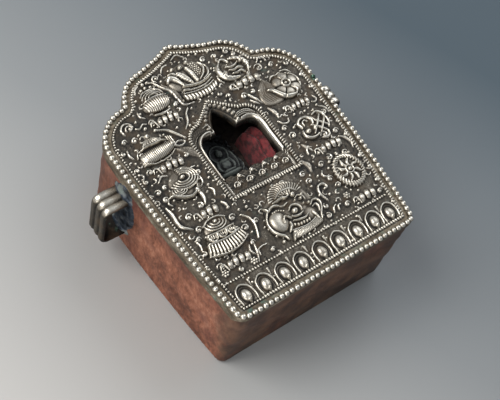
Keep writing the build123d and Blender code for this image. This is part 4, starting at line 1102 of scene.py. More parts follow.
# %% Wheel
wheel = Chasing(24, 42, 20, 40)
hub = (32.6, 29.6)
wheel.swell(*hub, 13.6, 15.2, 1.0, 0, 6)
wheel.ring(*hub, 12.2, 1.5, 0.9, 1.15)
for rib in range(0, 360, 12):
    turn = math.radians(rib)
    inner = out_from(*hub, turn - 0.09, 6 * 0.86, 6.9 * 0.86)
    outer = out_from(*hub, turn + 0.09, 6 * 1.12, 6.9 * 1.12)
    wheel.ridge([inner, outer], 0.75, 1.3)
for spoke in range(15, 375, 45):
    turn = math.radians(spoke)
    wheel.ridge([out_from(*hub, turn, 1.6, 1.8), out_from(*hub, turn + 0.2, 3, 3.4), out_from(*hub, turn, 4.6, 5.2)],
                (0.8, 1.5, 0.9), 1.1)
wheel.ring(*hub, 3.4, 0.7, 1.3)
wheel.boss(*hub, 2.2, height=1.9)
wheel.bosses(1.5, 1.7, (32.6, 38), (27.6, 36.6), (37.6, 36.4))
on_face(wheel, "dharma_wheel")

# %% Guardian mask
mask = Chasing(-14.5, 15.5, 14, 41, 0.18)
mask.field([(-10.4, 29), (-12, 24.8), (-11.6, 20.8), (-9, 17.6), (-6.4, 15), (-1, 14.8), (4, 15), (9.2, 16),
            (11.6, 20), (13.1, 24),
            (11.2, 27.6), (10.6, 31), (9.6, 35), (5.8, 38.3), (1.4, 39), (-2.6, 38), (-5.8, 34.4), (-9.4, 32)], 0.9,
            1.8)
mask.swell(2.2, 34, 14.2, 9.2, 1.5, -6)
mask.swell(2.0, 25.2, 13, 10, 1.5)
mask.swell(-7.0, 24.2, 8.4, 9.8, 2.5, 0, 2.4)
mask.swell(6.2, 21.6, 6.6, 6.4, 1.7)
mask.flutes([(-5.4, 33.0), (-4.2, 35.8), (-1.4, 37.9), (1.8, 38.7), (5.4, 38.1), (8.4, 36.2), (9.9, 33)],
            [(-2.9, 32.8), (-1.6, 33.9), (0.4, 34.7), (2.4, 34.9), (4.4, 34.7), (6.2, 33.9), (7.4, 32.3)], 17, 0.55,
            0.72, (0.5, 0.2))
mask.ridge([(-2.9, 32.9), (-0.4, 34.4), (2.4, 34.8), (5.2, 34.2), (7.2, 32.4)], (0.4, 0.8, 0.8, 0.4), 0.8)
mask.flutes([(-1.8, 33), (0.4, 33.9), (2.4, 34.2), (4.6, 33.8)], [(-0.6, 32.4), (1.0, 32.5), (2.6, 32.7),
                                                                  (3.8, 32.2)], 7, 0.5, 0.7)
mask.ridge([(-9.4, 31.9), (-8.4, 29.9), (-7.4, 30.4), (-5.3, 30.8), (-3.2, 29.9)], (0.6, 1.2, 1.3, 1.1, 0.6), 1.7)
mask.ridge([(-8.4, 30), (-9.6, 29), (-10.6, 27.6)], (1.0, 1.0, 0.6), 1.5)
mask.ridge([(-4.8, 31.9), (-2.6, 31.9), (-0.6, 32.1), (1.0, 31.5), (2.6, 31.9), (2.4, 32.8)],
           (0.6, 1.2, 1.2, 1.0, 0.6), 1.7)
mask.ridge([(-3.0, 29.7), (-1.6, 29.1), (0.8, 29.7)], (0.5, 1.0, 0.5), 1.2)
mask.beads([(-7.2, 28.7), (-4.8, 28.6), (-2.6, 27.4)], 0.95, 0.8, 0.7)
for x, y, size in ((4.6, 31.5, 2.1), (6.5, 28.6, 1.5), (8.2, 25.6, 1.3), (6.0, 26.2, 1.0), (8.0, 30.0, 1.1),
                   (3.8, 28.9, 1.0)):
    mask.boss(x, y, size, height=1.6)
mask.ridge([(4.6, 29.8), (6.4, 30.4), (8, 29), (8.2, 27.4)], (0.4, 0.7, 0.4), 1.0)
mask.ridge([(8.4, 24.4), (10.1, 25.6), (12, 25.2), (12.6, 23.4), (11.6, 21.2), (9.9, 19.2), (9.0, 17.2)],
           (0.6, 1.0, 1.1, 1.1, 1.0, 0.6), 1.5)
mask.ridge([(9.0, 23.5), (10.4, 23.8), (10.8, 22.3), (10.1, 20.6)], (0.5, 0.9, 0.9, 0.5), 1.2)
mask.ridge([(7.0, 21.4), (7.8, 19.6), (8.2, 17.8)], (0.6, 1.1, 0.6), 1.2)
mask.boss(1.0, 25.1, 2.8, 2.4, 1.9)
mask.ridge([(-0.9, 26.4), (0.3, 27.4), (1.7, 27.6), (3.0, 26.9), (3.9, 25.6), (3.9, 24.2)], (0.6, 1.0, 1.1, 1.0, 0.6),
           1.5)
mask.ridge([(-1.2, 23.8), (0.2, 23.0), (2.0, 22.8), (3.8, 23.4)], (0.5, 0.9, 0.9, 0.5), 1.1)
mask.ridge([(-9.2, 29.2), (-10.6, 27.8), (-11.7, 25.1), (-11.5, 22.2), (-10.0, 19.7), (-8.4, 18.2), (-7.8, 16.4)],
           (0.6, 1.0, 1.1, 1.1, 1.0, 0.6), 1.1)
mask.ridge([(-5.8, 22.4), (-5.5, 23.8), (-4.5, 24.7), (-3.2, 24.5), (-2.0, 23.2)], (0.5, 0.9, 1.1, 1.0, 0.6), 1.5)
mask.ridge([(-3.4, 22), (-3.9, 20.4), (-5.6, 18.7)], (0.8, 1.5, 0.8), 1.7)
mask.ridge([(-1.6, 22), (0.6, 21.2), (3.2, 20.9), (5.0, 21.6)], (0.5, 1.0, 1.0, 0.5), 1.4)
for x, y in ((-2.3, 20.3), (-1.0, 19.7), (0.3, 19.5), (1.6, 19.5), (2.9, 19.4), (4.2, 19.5)):
    mask.boss(x, y, 1.0, 1.5, 1.3)
mask.flutes([(-4.2, 18.4), (-1.4, 17.8), (1.2, 17.6), (4.2, 17.8), (7.2, 18.6)],
            [(-4.6, 15.4), (-1.6, 15.3), (1.6, 15.4), (5.0, 15.7), (8.6, 16.4)],
            21, 0.9, 0.7, (0.25, 0))
mask.ridge([(-4.6, 18.7), (-1.4, 18.2), (1.1, 17.9), (4.0, 18.1), (6.9, 18.9)], 0.5, 1.0)
mask.ridge([(-4.8, 17.6), (-5.2, 16.4), (-6.0, 14.9)], (0.8, 1.3, 0.7), 1.6)
mask.boss(-10.0, 16.6, 1.7, height=1.5)
on_face(mask, "guardian_mask")

# %% [markdown]
# ## Seats and petals
# Every emblem rests on a seat of plump hatched lobes that starts in a curl. Along the foot
# runs a row of nine lotus petals, each a thin arch round a bright plump boss.

# %% Seats of the emblems
SEATS = (
    # x, y of the middle, width, drop of the ends, lobes
    (-19.8, 84.6, 12.4, -0.6, 4), (20.2, 85.4, 14.4, -0.8, 4), (33.2, 65.6, 11.6, -0.5, 4), (-30, 65.9, 13, -0.6, 4),
    (-28.6, 41.7, 10.4, -0.4, 3), (32.4, 43.2, 13, -0.7, 4), (-30.4, 19.4, 13, -0.6, 4), (31.4, 17.3, 10.6, -0.5, 3),
)
seats = []
for x, y, width, drop, lobes in SEATS:
    seat = Chasing(x - width / 2 - 3, x + width / 2 + 3, y - 3.6, y + 3.8)
    pitch = (width - 2.4) / lobes
    for lobe in range(lobes):
        share = (lobe + 0.5) / lobes * 2 - 1
        lobe_x, lobe_y = x + 0.9 + share * pitch * lobes / 2, y + drop * share**2
        size = 1 - 0.16 * abs(share)
        seat.swell(lobe_x, lobe_y, pitch * 1.04, 4.2 * size, 1.85 * size, 9 * share - 8, 2.2)
        for hatch in (-0.28, -0.02, 0.24):
            hatch_x = lobe_x + hatch * pitch
            seat.groove([(hatch_x - 0.1, lobe_y + 1.6 * size), (hatch_x + 0.2, lobe_y - 1.6 * size)], 0.34, 0.15)
        seat.ridge([(lobe_x - pitch * 0.4, lobe_y - 1.5 * size), (lobe_x, lobe_y - 2.2 * size),
                    (lobe_x + pitch * 0.4, lobe_y - 1.5 * size)], (0.4, 0.6, 0.4), 0.6)
    left, foot = x - width / 2 + 0.6, y + drop
    seat.ridge([(left - 1.4, foot - 0.2), (left - 0.8, foot + 1.3), (left + 0.5, foot + 1.3),
                (left + 1.1, foot - 0.2),
                (left + 1.4, foot - 1.7)], (0.6, 1.0, 1.1, 0.9, 0.5), 1.3)
    seat.boss(left - 0.2, foot + 0.1, 1.0, height=1.1)
    seats.append(seat.made("seat"))
fitted(joined("emblem_seats", seats), "front_case", "chased_silver", chased_silver, "emblem_seats")

# %% Lotus petals
petals = []
for number, x in enumerate(PETALS_X):
    lean = 0.02 * x
    petal = Chasing(x - 5, x + 5, 1.4, 12.6)

    def shifted(*points):
        """Points of a petal at its own place, leaning as it does."""
        return [(x + px + lean * (py - 3) / 8, py) for px, py in points]

    petal.field(shifted((-3.6, 3), (-3.8, 6.5), (-2.9, 9.2), (0, 10.9), (2.9, 9.2), (3.8, 6.5), (3.6, 3), (0, 2.7)),
                0.4, 0.8)
    petal.ridge(shifted((-3.3, 2.9), (-3.6, 6.3), (-2.7, 9.0), (0, 10.5), (2.7, 9.0), (3.6, 6.3), (3.3, 2.9)),
                (0.6, 0.85, 0.85, 0.5), 1.05)
    petal.ridge(shifted((-2.4, 3.2), (-2.7, 6.3), (-2.0, 8.3), (0, 9.4), (2.0, 8.3), (2.7, 6.3), (2.4, 3.2)), 0.4,
                0.25)
    petal.swell(x + lean * 0.4, 5.9, 4.2, 5.6, 2.0, -8 if number % 2 else 6, 2.2)
    petal.ridge(shifted((0, 3.9), (0.1, 3.0), (0, 2.2)), (1.6, 1.2, 0.6), 0.8)
    petals.append(petal.made("petal"))
    if x < PETALS_X[-1]:
        drop, drop_x = Chasing(x + 2.6, x + 6.4, 7.8, 12.6), x + 4.4 + lean
        drop.boss(drop_x, 10.9, 1.3, height=1.0)
        drop.ridge([(drop_x, 10.4), (drop_x, 8.4)], (1.1, 0.4), 0.8)
        petals.append(drop.made("petal"))
fitted(joined("lotus_petals", petals), "front_case", "chased_silver", chased_silver, "lotus_petals")

# %% [markdown]
# ## Beaded and milled wires
# The rim of the face is a beaded wire: round beads pressed into one silver wire, most of them
# rubbed bright on top. Inside it, round the window and above the petals run finer wires milled
# with slanting ribs. One bead and one rib are modelled, and copies of them are set along each
# line.

# %% A bead, a rib and rows of them
def rounded_model(segments, rings):
    """The corners and faces of a low ball, for copying."""
    bpy.ops.object.select_all(action="DESELECT")
    bpy.ops.mesh.primitive_uv_sphere_add(segments=segments, ring_count=rings, radius=1, calc_uvs=False)
    ball = bpy.context.object
    corners = np.array([v.co for v in ball.data.vertices])
    faces = [tuple(p.vertices) for p in ball.data.polygons]
    bpy.data.objects.remove(ball)
    return corners, faces


def row_of(name, model, places):
    """One mesh of copies of a model, each at x, y, z with its length, width and height and a turn in degrees. The
    last number says how rubbed it is."""
    corners, faces = model
    points, polygons, worn = [], [], []
    for number, (x, y, z, length, width, height, turn, rub) in enumerate(places):
        c, s = math.cos(math.radians(turn)), math.sin(math.radians(turn))
        across, up, rise = (corners * (length / 2, width / 2, height)).T
        points.append(np.column_stack((x + across * c - up * s, y + across * s + up * c, z + rise)))
        polygons += [tuple(v + number * len(corners) for v in face) for face in faces]
        worn.append(rub + 0.55 * corners[:, 2])
    mesh = bpy.data.meshes.new(name)
    mesh.from_pydata(np.vstack(points) * MM, [], polygons)
    piece = bpy.data.objects.new(name, mesh)
    bpy.context.scene.collection.objects.link(piece)
    active(piece)
    bpy.ops.object.shade_smooth()
    return marked(piece, np.concatenate(worn))


def ribbon(line, width, low, high, worn, closed=True):
    """A low flat wire along a line, for beads and ribs to stand on."""
    out, rounded = normals(line, closed), high - 0.15
    section = ((1, low), (1, rounded), (0.7, high), (-0.7, high), (-1, rounded), (-1, low), (1, low))
    rows = [np.column_stack((line + out * width * side / 2, np.full(len(line), z))) for side, z in section]
    return marked(sewn_sheet("strip", rows, closed), worn)


def along_line(line, pitch, closed=True):
    """Places at a pitch along a line, each with the turn of the line there, in degrees."""
    total = np.linalg.norm(np.diff(np.vstack((line, line[:1])) if closed else line, axis=0), axis=1).sum()
    spots = evenly(line, count=int(round(total / pitch)), closed=closed)
    along = directions(spots, closed)
    return spots, np.degrees(np.arctan2(along[:, 1], along[:, 0]))


print("a bead has", len(rounded_model(12, 8)[1]), "faces")
# %% Edge beads
SMOOTH_WORN = (  # x, y, reach
    (-43.2, -53.5, 7.0), (-37, -58, 4.5), (41.5, -56.5, 5.5), (36, -58.5, 4.0), (5.5, 54.5, 4.5), (14, 52, 4))
BEAD_SIZE, BEAD_HEIGHT = 2.3, 1.18
wire_dice = np.random.default_rng(11)
bead_line = drawn_in(case_line, 0.4)
places = []
for (x, y), turn in zip(*along_line(bead_line, 2.42)):
    rubbed = max([1 - math.hypot(x - a, y - b) / reach for a, b, reach in SMOOTH_WORN] + [0])
    size = BEAD_SIZE + wire_dice.uniform(-0.10, 0.08)
    shift_x, shift_y = wire_dice.uniform(-0.07, 0.07), wire_dice.uniform(-0.07, 0.07)
    height = (BEAD_HEIGHT + wire_dice.uniform(-0.08, 0.06)) * (1 - 0.3 * rubbed)
    places.append((x + shift_x, y + shift_y, PLATE + 0.62, size + 0.25 * rubbed, size, height, turn,
                   0.52 + wire_dice.uniform(-0.12, 0.14)))
edge_beads = row_of("edge_beads", rounded_model(12, 8), places)
strip = ribbon(evenly(bead_line, 1.0, closed=True), 1.5, PLATE + 0.02, PLATE + 0.55, 0.34)
fitted(joined("edge_beads", [edge_beads, strip]), "front_case", "silver_wire", wire_silver, "edge_beads")

# %% Milled wires
def milled_wire(name, line, pitch, width, height, slant, share=0.72, closed=True, narrow_left=False):
    """A wire with slanting ribs, on its own low strip."""
    places = []
    for (x, y), turn in zip(*along_line(line, pitch, closed)):
        flat = 0.75 if -24 < x < -10 and y > 44 else 1.0
        across = width * wire_dice.uniform(0.92, 1.05) * (0.62 if narrow_left and x < -30 else 1.0)
        rise = (height - 0.25) * flat * wire_dice.uniform(0.85, 1.05)
        rub = 0.46 * flat + wire_dice.uniform(-0.12, 0.12)
        places.append((x, y, PLATE + 0.30, across, pitch * share, rise, turn + 90 + slant, rub))
    ribs = row_of(name, rounded_model(8, 5), places)
    strip = ribbon(evenly(line, 1.0, closed=closed), width * 0.8, PLATE + 0.02, PLATE + 0.4, 0.15, closed)
    closed_up(strip, capped)
    fitted(joined(name, [ribs, strip]), "front_case", "silver_wire", wire_silver, name)


milled_wire("inner_beads", drawn_in(case_line, 3.5), 1.22, 1.85, 1.05, 20, 0.86, narrow_left=True)
milled_wire("window_wire", evenly(window_line, 0.25, closed=True), 1.2, 2.1, 1.25, 14)
(left, low, _), (right, high, _) = box_mm("band_wire")
band_line = evenly([(left, (low + high) / 2), (right, (low + high) / 2)], 1.0)
milled_wire("band_wire", band_line, 1.25, 1.35, 0.95, 20, closed=False)

# %% [markdown]
# ## Window frame and sill
# The window is set in a stepped moulding: a stippled border inside the milled wire, thin lines
# that follow the opening, and a thick bright lip that rolls over its edge and ends in scrolls
# at the trefoil's points; on the right the lip carries a painted highlight. Below it lies a sill
# of five curled rosettes.

# %% Window frame
niche = Chasing(-18, 18, 40.6, 85.4, 0.2)
from_opening = -inside_by(niche.x, niche.y + FIELD_FOOT, opening_line)
from_wire = inside_by(niche.x, niche.y + FIELD_FOOT, window_line)
niche.form = np.interp(from_opening, (0, 0.35, 0.9, 1.5, 2.4, 3.4), (-1.9, -1.5, -1.0, -0.75, -0.4, -0.1))
for away, width, height in ((0.75, 0.85, 1.0), (1.75, 0.5, 0.55), (2.55, 0.5, 0.45)):
    line_height = height * domed((from_opening - away) / (width / 2))
    niche.work = np.maximum(niche.work, line_height * np.clip((73.5 - niche.y) / 2, 0.25, 1))
lobe = curve_through([(-6.6, 72.8), (-6.4, 75), (-4.6, 78.2), (-2.4, 80.8), (0, 82.2), (2.4, 80.8), (4.6, 78.2),
                      (6.4, 75), (6.6, 72.8)], 0.1)
for x, y in evenly(lobe, 2.0):
    niche.boss(x, y, 2.3, 2.0, 0.75)
    niche.boss(x, y, 1.1, 1.0, 0.95)
niche.ridge([(14.9, 51.4), (14.6, 60), (14.7, 66), (13.6, 69.6), (11.4, 71.2), (8.4, 71.2)],
            (1.5, 2.1, 2.3, 1.9, 1.2), 1.7)
niche.ridge([(-14.7, 51.4), (-14.6, 60), (-14.6, 66), (-13.2, 69.8), (-10.8, 71.3), (-7.8, 71.3)],
            (0.9, 1.1, 1.2, 1.0), 1.1)
niche.ridge([(-14.5, 61.6), (-14.2, 66.5), (-12.3, 70), (-9.6, 71.4), (-7, 71.2), (-7.5, 69.8)],
            (0.7, 1.5, 1.5, 1.2, 0.7), 1.6)
# Painted highlight: the right lip is stored as rubbed brighter, so it shows a bright band along its length.
lip_highlight = np.clip((1.5 - np.abs(niche.x - 14.8)) / 0.7, 0, 1)
niche.rub = 0.4 * lip_highlight * np.clip((niche.y - 51) / 2, 0, 1) * np.clip((71 - niche.y) / 1.5, 0, 1)
for reach in (0, 0.75, 1.5):
    niche.ridge([(6, 71 + reach), (8, 72.4 + reach), (11.4 + reach * 0.4, 72.2 + reach),
                 (13.8 + reach * 0.6, 70 + reach * 0.6)],
                      (0.4, 0.55, 0.55, 0.4), 1.0)
niche.boss(6.6, 71.4, 2.0, 1.8, 1.5)
niche.ridge([(-8.6, 74.2), (-6.4, 74.4), (-5.8, 72.6)], (0.5, 0.9, 0.6), 1.1)
stipple = np.sin(niche.x * 6.6) * np.sin(niche.y * 6.6)
niche.grain += 0.16 * stipple * (from_opening > 2.0)
shelf = (np.abs(niche.x) < 14.6) & (niche.y < 50.4) & (niche.y > 42.7)
niche.form[shelf], niche.work[shelf], niche.grain[shelf] = -1.75, 0, 0
on_face(niche, "niche_frame", edge=np.minimum(from_opening, from_wire - 0.1), sink=1.9, behind=1.9)

# %% Sill
sill = Chasing(-15, 15, 42, 53, 0.18)
sill.form -= 1.35
scallop = 49.6 + np.abs(np.cos((sill.x + 0.2) * math.pi / 6.1))
for x in (-11.4, -5.4, 0.6, 6.6, 12.2):
    sill.swell(x, 45.7, 3.6, 3.4, 0.5)
    sill.curl(x, 45.7, 1.5, 200, -330, width=0.65, height=0.75, bead=0.4)
    for hatch in (-1, 0, 1):
        sill.ridge([(x + 1.2 + hatch * 0.5, 47.2), (x + 2.2 + hatch * 0.5, 45.6)], (0.25, 0.45, 0.25), 0.6)
for x in (-8.4, -2.4, 3.6, 9.4):
    sill.boss(x, 48.8, 1.6, 1.5, 1.2)
    sill.ridge([(x - 1.6, 47.6), (x, 49.8), (x + 1.6, 47.6)], (0.4, 0.7, 0.4), 0.7)
sill.grain += 0.10 * waves(sill.x, sill.y, 1.2, 46)
sill_edge = np.minimum(np.minimum(14.4 - np.abs(sill.x), sill.y - 42.8), scallop - sill.y)
on_face(sill, "niche_sill", edge=sill_edge, sink=1.3, behind=0.35)

# %% [markdown]
# ## Copper case
# The wall is one tall strip of copper bent to the outline. It was hammered by hand and has been
# carried for years, so its sides wave a little and its corners are soft. The tray's pan closes
# the back, with a rounded edge.

# %% Copper wall and back
shell_line = evenly(case_line, count=720, closed=True)
shell_out = normals(shell_line)
around = np.arange(len(shell_line)) * np.linalg.norm(np.diff(shell_line, axis=0), axis=1).mean()
round_x, round_y = out_from(0, 0, 2 * math.pi * around / around[-1], 58)  # a circle, on which waves meet their start


def ring_sheet(name, rows):
    """A sheet that runs round the case. Each row is how far it is drawn in and its height, in millimetres."""
    sizes = [[np.broadcast_to(size, around.shape) for size in row] for row in rows]
    return sewn_sheet(name, [np.column_stack((shell_line - shell_out * inset[:, None], z)) for inset, z in sizes])


def dented(z):
    """How far the hammered wall is pushed in at a height."""
    fade = np.clip((z - 1.5) / 6, 0, 1) * np.clip((43.5 - z) / 3, 0, 1)
    hollows = waves(round_x + 0.6 * z, round_y + 1.3 * z, 26, 21) * 0.28 + waves(round_x, round_y + 1.7 * z, 9,
                                                                                 22) * 0.08
    return (0.12 + hollows) * fade


THICK = 0.8
lip, wall_top = [corner[2] for corner in box_mm("case_wall")]
rows = [(dented(z), z) for z in np.linspace(lip, wall_top, 34)]
rows += [(THICK, wall_top), (THICK, 24.0), (THICK, lip), (dented(lip), lip)]
fitted(smooth_shaded(ring_sheet("case_wall", rows)), "front_case", "aged_copper", aged_copper, "case_wall")

pan = ring_sheet("back_plate", [(2.2, 0.8), (0.95, 0.8), (0.8, 1.0), (THICK, lip), (0, lip), (0, 1.7), (0.10, 1.2),
                                (0.35, 0.7), (0.75, 0.3), (1.3, 0.06), (2.0, 0.0)])
closed_up(pan, capped)
fitted(smooth_shaded(pan), "back_tray", "aged_copper", aged_copper, "back_plate")
clad(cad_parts["tray_wall"], aged_copper)
clad(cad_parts["face_plate"], chased_silver)

# %% [markdown]
# ## Silver skirt
# A silver band is soldered over the top of the copper wall. Its lower edge is cut by eye and
# wanders, and on the foot side it is narrower. Skin oils leave it dull, with verdigris round its
# left foot corner.

# %% Skirt
foot_side = np.clip((-54.5 - shell_line[:, 1]) / 2.5, 0, 1)
skirt_low = 40.7 + 2.6 * foot_side + waves(round_x, round_y, 17, 31) * 0.22
skirt_rows = [(-0.30, skirt_low), (-0.46, skirt_low + 0.25), (-0.42, skirt_low + 0.5), (-0.50, 44.9), (-0.48, 45.4),
              (-0.30, PLATE + 0.02), (0.0, PLATE + 0.12), (2.9, PLATE + 0.10), (2.9, PLATE + 0.02),
              (-0.03, PLATE + 0.01), (-0.03, skirt_low), (-0.30, skirt_low)]
fitted(smooth_shaded(ring_sheet("rim_band", skirt_rows)), "front_case", "silver_wire", skirt_silver, "rim_band")

# %% [markdown]
# ## Strap loops
# On each side a strip of silver with three bright ribs is bent to a loop for the strap and
# bedded in lumpy grey solder, which has run up and down the copper. Each loop's top is painted
# brighter than its upright outer face, as painted light from above.

# %% Strap loops
RIB_PITCH, RIB_HALF, RIB_RISE = 3.4, 1.7, 1.05
SOLDERED = 46.9  # x where each leg meets the wall
loop_low, loop_high = box_mm("strap_loop_right")
_, loop_y, loop_z = (loop_low + loop_high) / 2
loop_reach = loop_high[0] - 0.75
loop_top = (loop_high[2] - loop_low[2]) / 2 - 1.3
loop_foot = -loop_top - 1.4
bend = evenly(curve_through([
    (SOLDERED, loop_foot), (51, loop_foot), (55.6, loop_foot + 0.1), (57.3, loop_foot + 0.8),
    (loop_reach, loop_foot + 2.4),
    (loop_reach, -3), (loop_reach, 3), (loop_reach, loop_top - 2.2), (57.4, loop_top - 0.6), (56.0, loop_top - 0.1),
    (51, loop_top), (SOLDERED, loop_top)], 0.1), count=84)
section = [(rib * RIB_PITCH + share * RIB_HALF, 0.55 + RIB_RISE * math.sqrt(1 - abs(share) ** 2.6))
           for rib in (-1, 0, 1) for share in np.linspace(-0.96, 0.96, 9)]
section += [(5.05, 0.3), (4.85, 0.0), (1.6, 0.0), (-1.6, 0.0), (-4.85, 0.0), (-5.05, 0.3), section[0]]
for name, side in (("strap_loop_right", 1), ("strap_loop_left", -1)):
    rows = [[(side * (px + ox * rise), loop_y + across, loop_z + pz + oz * rise) for across, rise in section]
            for (px, pz), (ox, oz) in zip(bend, normals(bend, closed=False))]
    loop = sewn_sheet(name, np.array(rows), closed=False)
    closed_up(loop, capped)
    x, y, z = np.array([corner.co for corner in loop.data.vertices]).T / MM
    to_rib = np.abs((y - loop_y + RIB_HALF) % RIB_PITCH - RIB_HALF) / RIB_HALF
    # Painted light: the top of each loop is painted brighter, and its upright outer face darker, as if lit from
    # above.
    lit_top = np.clip((z - loop_z - loop_top + 1.2) / 2.0, 0, 1) * np.clip((np.abs(x) - 48) / 6, 0.3, 1)
    marked(loop, 0.27 + 0.62 * lit_top - 0.5 * to_rib**3)
    fitted(smooth_shaded(loop, 60), "front_case", "silver_wire", wire_silver, name)

# %% Solder beds
beside_loop = (half_outline[:, 1] > -50) & (half_outline[:, 1] < 36) & (half_outline[:, 0] > 40)
wall_x, wall_y = half_outline[beside_loop].T
for name, side in (("loop_base_right", 1), ("loop_base_left", -1)):

    def on_wall(x, y, height, side=side):
        """Where a spot of solder lies: x runs along the wall and y up it."""
        return side * (np.interp(x, wall_y, wall_x) + height), x, y

    bed = Chasing(loop_y - 15, loop_y + 15, 4, 42, 0.4)
    reach = 4.4 + 3.2 * np.exp(-(((bed.y - 26) / 10) ** 2))
    shape = 1 - (np.abs((bed.x - loop_y + 0.7) / reach) ** 2.6 + np.abs((bed.y - 25) / 19) ** 3.2)
    shape += 0.22 * waves(bed.x, bed.y, 13, 41 + side)
    bed.form = 0.75 * np.sqrt(np.clip(shape, 0, 0.5) / 0.5)
    for foot in (loop_z + loop_foot - 0.8, loop_z + loop_top + 0.8):
        bed.boss(loop_y, foot, 12.5, 5.0, 1.2)
    bed.grain = (0.18 * waves(bed.x, bed.y, 5, 44) + 0.05 * waves(bed.x, bed.y, 2.4, 45)) * (bed.form > 0.2)
    fitted(bed.made(name, sink=0.35, behind=0.2, place=on_wall), "front_case", "grey_solder", grey_solder, name)

# %% [markdown]
# ## What the window shows
# Behind the window a dark pressed-clay tablet shows a small seated figure, quite plain, before
# a halo. Beside it a fold of crimson cloth is tucked in, and both lie on the cloth that packs
# the tray. The tablet is chased like the silver. The crimson piece is a thin cloth laid in
# folds, and the packing is a soft pad with a crowned top.

# %% Tablet
tablet_low, tablet_high = box_mm("votive_plaque")
middle, foot = (tablet_low[0] + tablet_high[0]) / 2, tablet_low[1] - FIELD_FOOT
seat_x, seat_y, figure_size = middle + 2.6, foot + 7.4, 0.66


def on_tablet(x, y, height):
    """Where a spot of the tablet lies in the box."""
    return x, y + FIELD_FOOT, tablet_low[2] + 7 + height


def spot(x, y):
    """A place on the figure, from the middle of its seat."""
    return seat_x + x * figure_size, seat_y + y * figure_size


tablet = Chasing(middle - 10, middle + 10, foot - 0.5, foot + 30.5, 0.25)
tablet.field([(middle - 9.2, foot + 0.4), (middle + 9.2, foot + 0.4), (middle + 9.3, foot + 18),
              (middle + 6, foot + 26),
              (middle, foot + 29.6), (middle - 6, foot + 26), (middle - 9.3, foot + 18)], 0.6, 0.8)
tablet.ring(*spot(0, 20.6), 11.6 * figure_size, 0.9, 0.7, 1.05)
tablet.ring(*spot(0, 14), 17.4 * figure_size, 0.8, 0.5, 1.25)
for up, wide, tall, height in ((5.6, 15.5, 6.4, 2.6), (12.4, 8.4, 11, 2.6), (20.6, 5.0, 5.8, 3.0)):
    tablet.swell(*spot(0, up), wide * figure_size, tall * figure_size, height)
tablet.boss(*spot(0, 23.8), 1.7, 1.7, 0.9)
for side in (-1, 1):
    tablet.ridge([spot(side * 4, 15.6), spot(side * 5.4, 11), spot(side * 3.4, 8), spot(0, 7.6)],
                 (1.8, 1.8, 1.5, 1.0), 1.1)
    tablet.ridge([spot(side * 1.7, 21), spot(side * 0.9, 21.2), spot(side * 0.3, 21)], 0.4, 0.25)
    tablet.ridge([spot(side * 8.2, 4), spot(side * 11, 9), spot(side * 10.4, 15)], (0.5, 0.9, 0.5), 0.6)
tablet.ridge([spot(-6.8, 5.4), spot(0, 4.6), spot(6.8, 5.4)], (1.6, 1.9, 1.6), 0.9)
tablet.flutes([spot(-6.4, 2.6), spot(6.4, 2.6)], [spot(-6.8, 0.6), spot(6.8, 0.6)], 9, 0.8)
tablet.boss(*spot(0, 20.2), 0.7, 1.0, 0.35)
tablet.ridge([spot(-0.7, 18.8), spot(0, 18.6), spot(0.7, 18.8)], 0.4, 0.25)
tablet.grain += 0.08 * waves(tablet.x, tablet.y, 2.0, 51)
plaque = tablet.made("votive_plaque", sink=0.0, behind=6.9, place=on_tablet)
fitted(plaque, "back_tray", "dark_clay", dark_clay, "votive_plaque")

# %% Crimson cloth
cloth_low, cloth_high = box_mm("cloth_wrap")
left, foot, under = cloth_low + (5.2, 0.3, 0.3)
right, head, over = cloth_high + (6.4, -0.3, 3.0)
u, v = np.meshgrid(np.linspace(0, 1, 64), np.linspace(0, 1, 96))
fold_shift = 0.16 * np.sin(2.2 * math.pi * v + 0.6) + 0.06 * np.sin(5.3 * math.pi * v)
folds = 0.5 + 0.5 * np.sin(2 * math.pi * (2.6 * u + fold_shift))
crown_shape = np.sqrt(np.clip(1 - (2 * u - 1) ** 4, 0, 1)) * np.clip(1 - (2 * v - 1) ** 8, 0, 1) ** 0.5
cloth_x = left + (right - left) * (0.5 + (u - 0.5) * (1 - 0.08 * (1 - crown_shape))) + 0.25 * np.sin(9 * v + 3 * u)
dip = np.exp(-(((u - 0.62 - 0.05 * np.sin(5 * v)) / 0.03) ** 2))
cloth_z = under + (over - under) * crown_shape * (0.82 + 0.18 * folds - 0.22 * dip)
cloth_points = np.dstack((np.clip(cloth_x, left, right), foot + (head - foot) * v, cloth_z))
across, up = np.diff(cloth_points, axis=1), np.diff(cloth_points, axis=0)
cloth = bent_sheet("cloth_wrap", cloth_points)
active(cloth)
bpy.ops.object.modifier_add(type="SOLIDIFY")
cloth.modifiers[-1].thickness = 0.3 * MM
bpy.ops.object.modifier_apply(modifier=cloth.modifiers[-1].name)
fitted(smooth_shaded(cloth, 80), "back_tray", "crimson_cloth", crimson_cloth, "cloth_wrap")

# %% Packing pad
pad_low, pad_high = box_mm("cloth_pad")
pad_foot, pad_top = pad_low[2], pad_high[2]
pad_line = evenly(case_line, count=300, closed=True)
pad_line = pad_line - normals(pad_line) * (case_line[:, 0].max() - pad_high[0])
sides = [(1.0, pad_foot + 4), (1.0, pad_foot + 9), (1.0, pad_foot + 14)]
crown = [(0.99, 3.2), (0.965, 1.6), (0.92, 0.7), (0.84, 0.25), (0.72, 0.1), (0.6, 0), (0.45, 0), (0.3, 0), (0.15, 0),
         (0.0, 0)]
rows = []
for share, z in [(0.0, pad_foot), (0.94, pad_foot), (0.985, pad_foot + 0.8), *sides,
                 *((s, pad_top - d) for s, d in crown)]:
    ring = pad_line * share
    wrinkle = waves(*ring.T, 16, 61) * 0.35 + waves(*ring.T, 6, 62) * 0.12
    rows.append(np.column_stack((ring, z - np.abs(wrinkle) * (z > pad_foot + 1) * min(1, share * 4))))
pad = sewn_sheet("cloth_pad", rows)
fitted(smooth_shaded(pad, 80), "back_tray", "packing_cloth", packing_cloth, "cloth_pad")

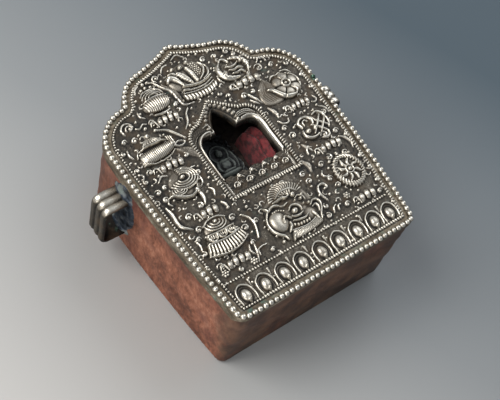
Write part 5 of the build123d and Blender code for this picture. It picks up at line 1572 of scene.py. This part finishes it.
# %% [markdown]
# ## Floor and light
# The box lies on a plain grey floor, paler at the near left, under large soft lamps: a main one
# from the upper left, a weaker one opposite and a low one along the left side that lights the
# copper.

# %% Floor and lamps
bpy.ops.object.select_all(action="DESELECT")
bpy.ops.mesh.primitive_plane_add(size=6)
floor = bpy.context.object
floor.name = "floor"
pale = Finish("pale_floor", Roughness=0.9)
away = (pale.along("X") * 0.92 + pale.along("Y") * 0.39) * (0.5 / 150) + 0.5
clad(floor, pale.made(pale.ramp(away, (0.0, (0.57, 0.555, 0.53)), (0.5, (0.262, 0.276, 0.283)),
                                (1.0, (0.082, 0.111, 0.133)))))
floor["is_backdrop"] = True


def lamp(name, place, aim_height, size, power, colour):
    """A large square lamp at a place, turned to a height over the middle of the floor, in metres."""
    light = bpy.data.lights.new(name, "AREA")
    light.size, light.energy, light.color = size, power, colour
    holder = bpy.data.objects.new(name, light)
    bpy.context.scene.collection.objects.link(holder)
    toward = (Vector((0, 0, aim_height)) - Vector(place)).to_track_quat("-Z", "Y")
    holder.matrix_world = Matrix.Translation(place) @ toward.to_matrix().to_4x4()


lamp("main_lamp", (-0.55, 0.35, 0.75), 0.03, 0.6, 7.8, (1.0, 0.98, 0.95))
lamp("side_lamp", (-0.75, -0.35, 0.25), 0.02, 0.5, 3.0, (1.0, 0.97, 0.93))
lamp("far_lamp", (0.6, 0.2, 0.7), 0.03, 0.7, 3.5, (0.93, 0.96, 1.0))
world = bpy.data.worlds.new("soft_grey")
bpy.context.scene.world = world
world.use_nodes = True
sky = world.node_tree.nodes["Background"]
sky.inputs["Color"].default_value = (0.60, 0.63, 0.67, 1)
sky.inputs["Strength"].default_value = 0.45
bpy.context.scene.view_settings.view_transform = "Standard"
print("floor and three lamps placed")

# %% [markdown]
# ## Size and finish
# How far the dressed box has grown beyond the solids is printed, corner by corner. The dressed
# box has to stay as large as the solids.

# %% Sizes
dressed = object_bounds()
corner_pairs = zip((*cad_box[0], *cad_box[1]), (*dressed[0], *dressed[1]))
print("grown by", [round((b - a) / MM, 2) for a, b in corner_pairs], "mm")
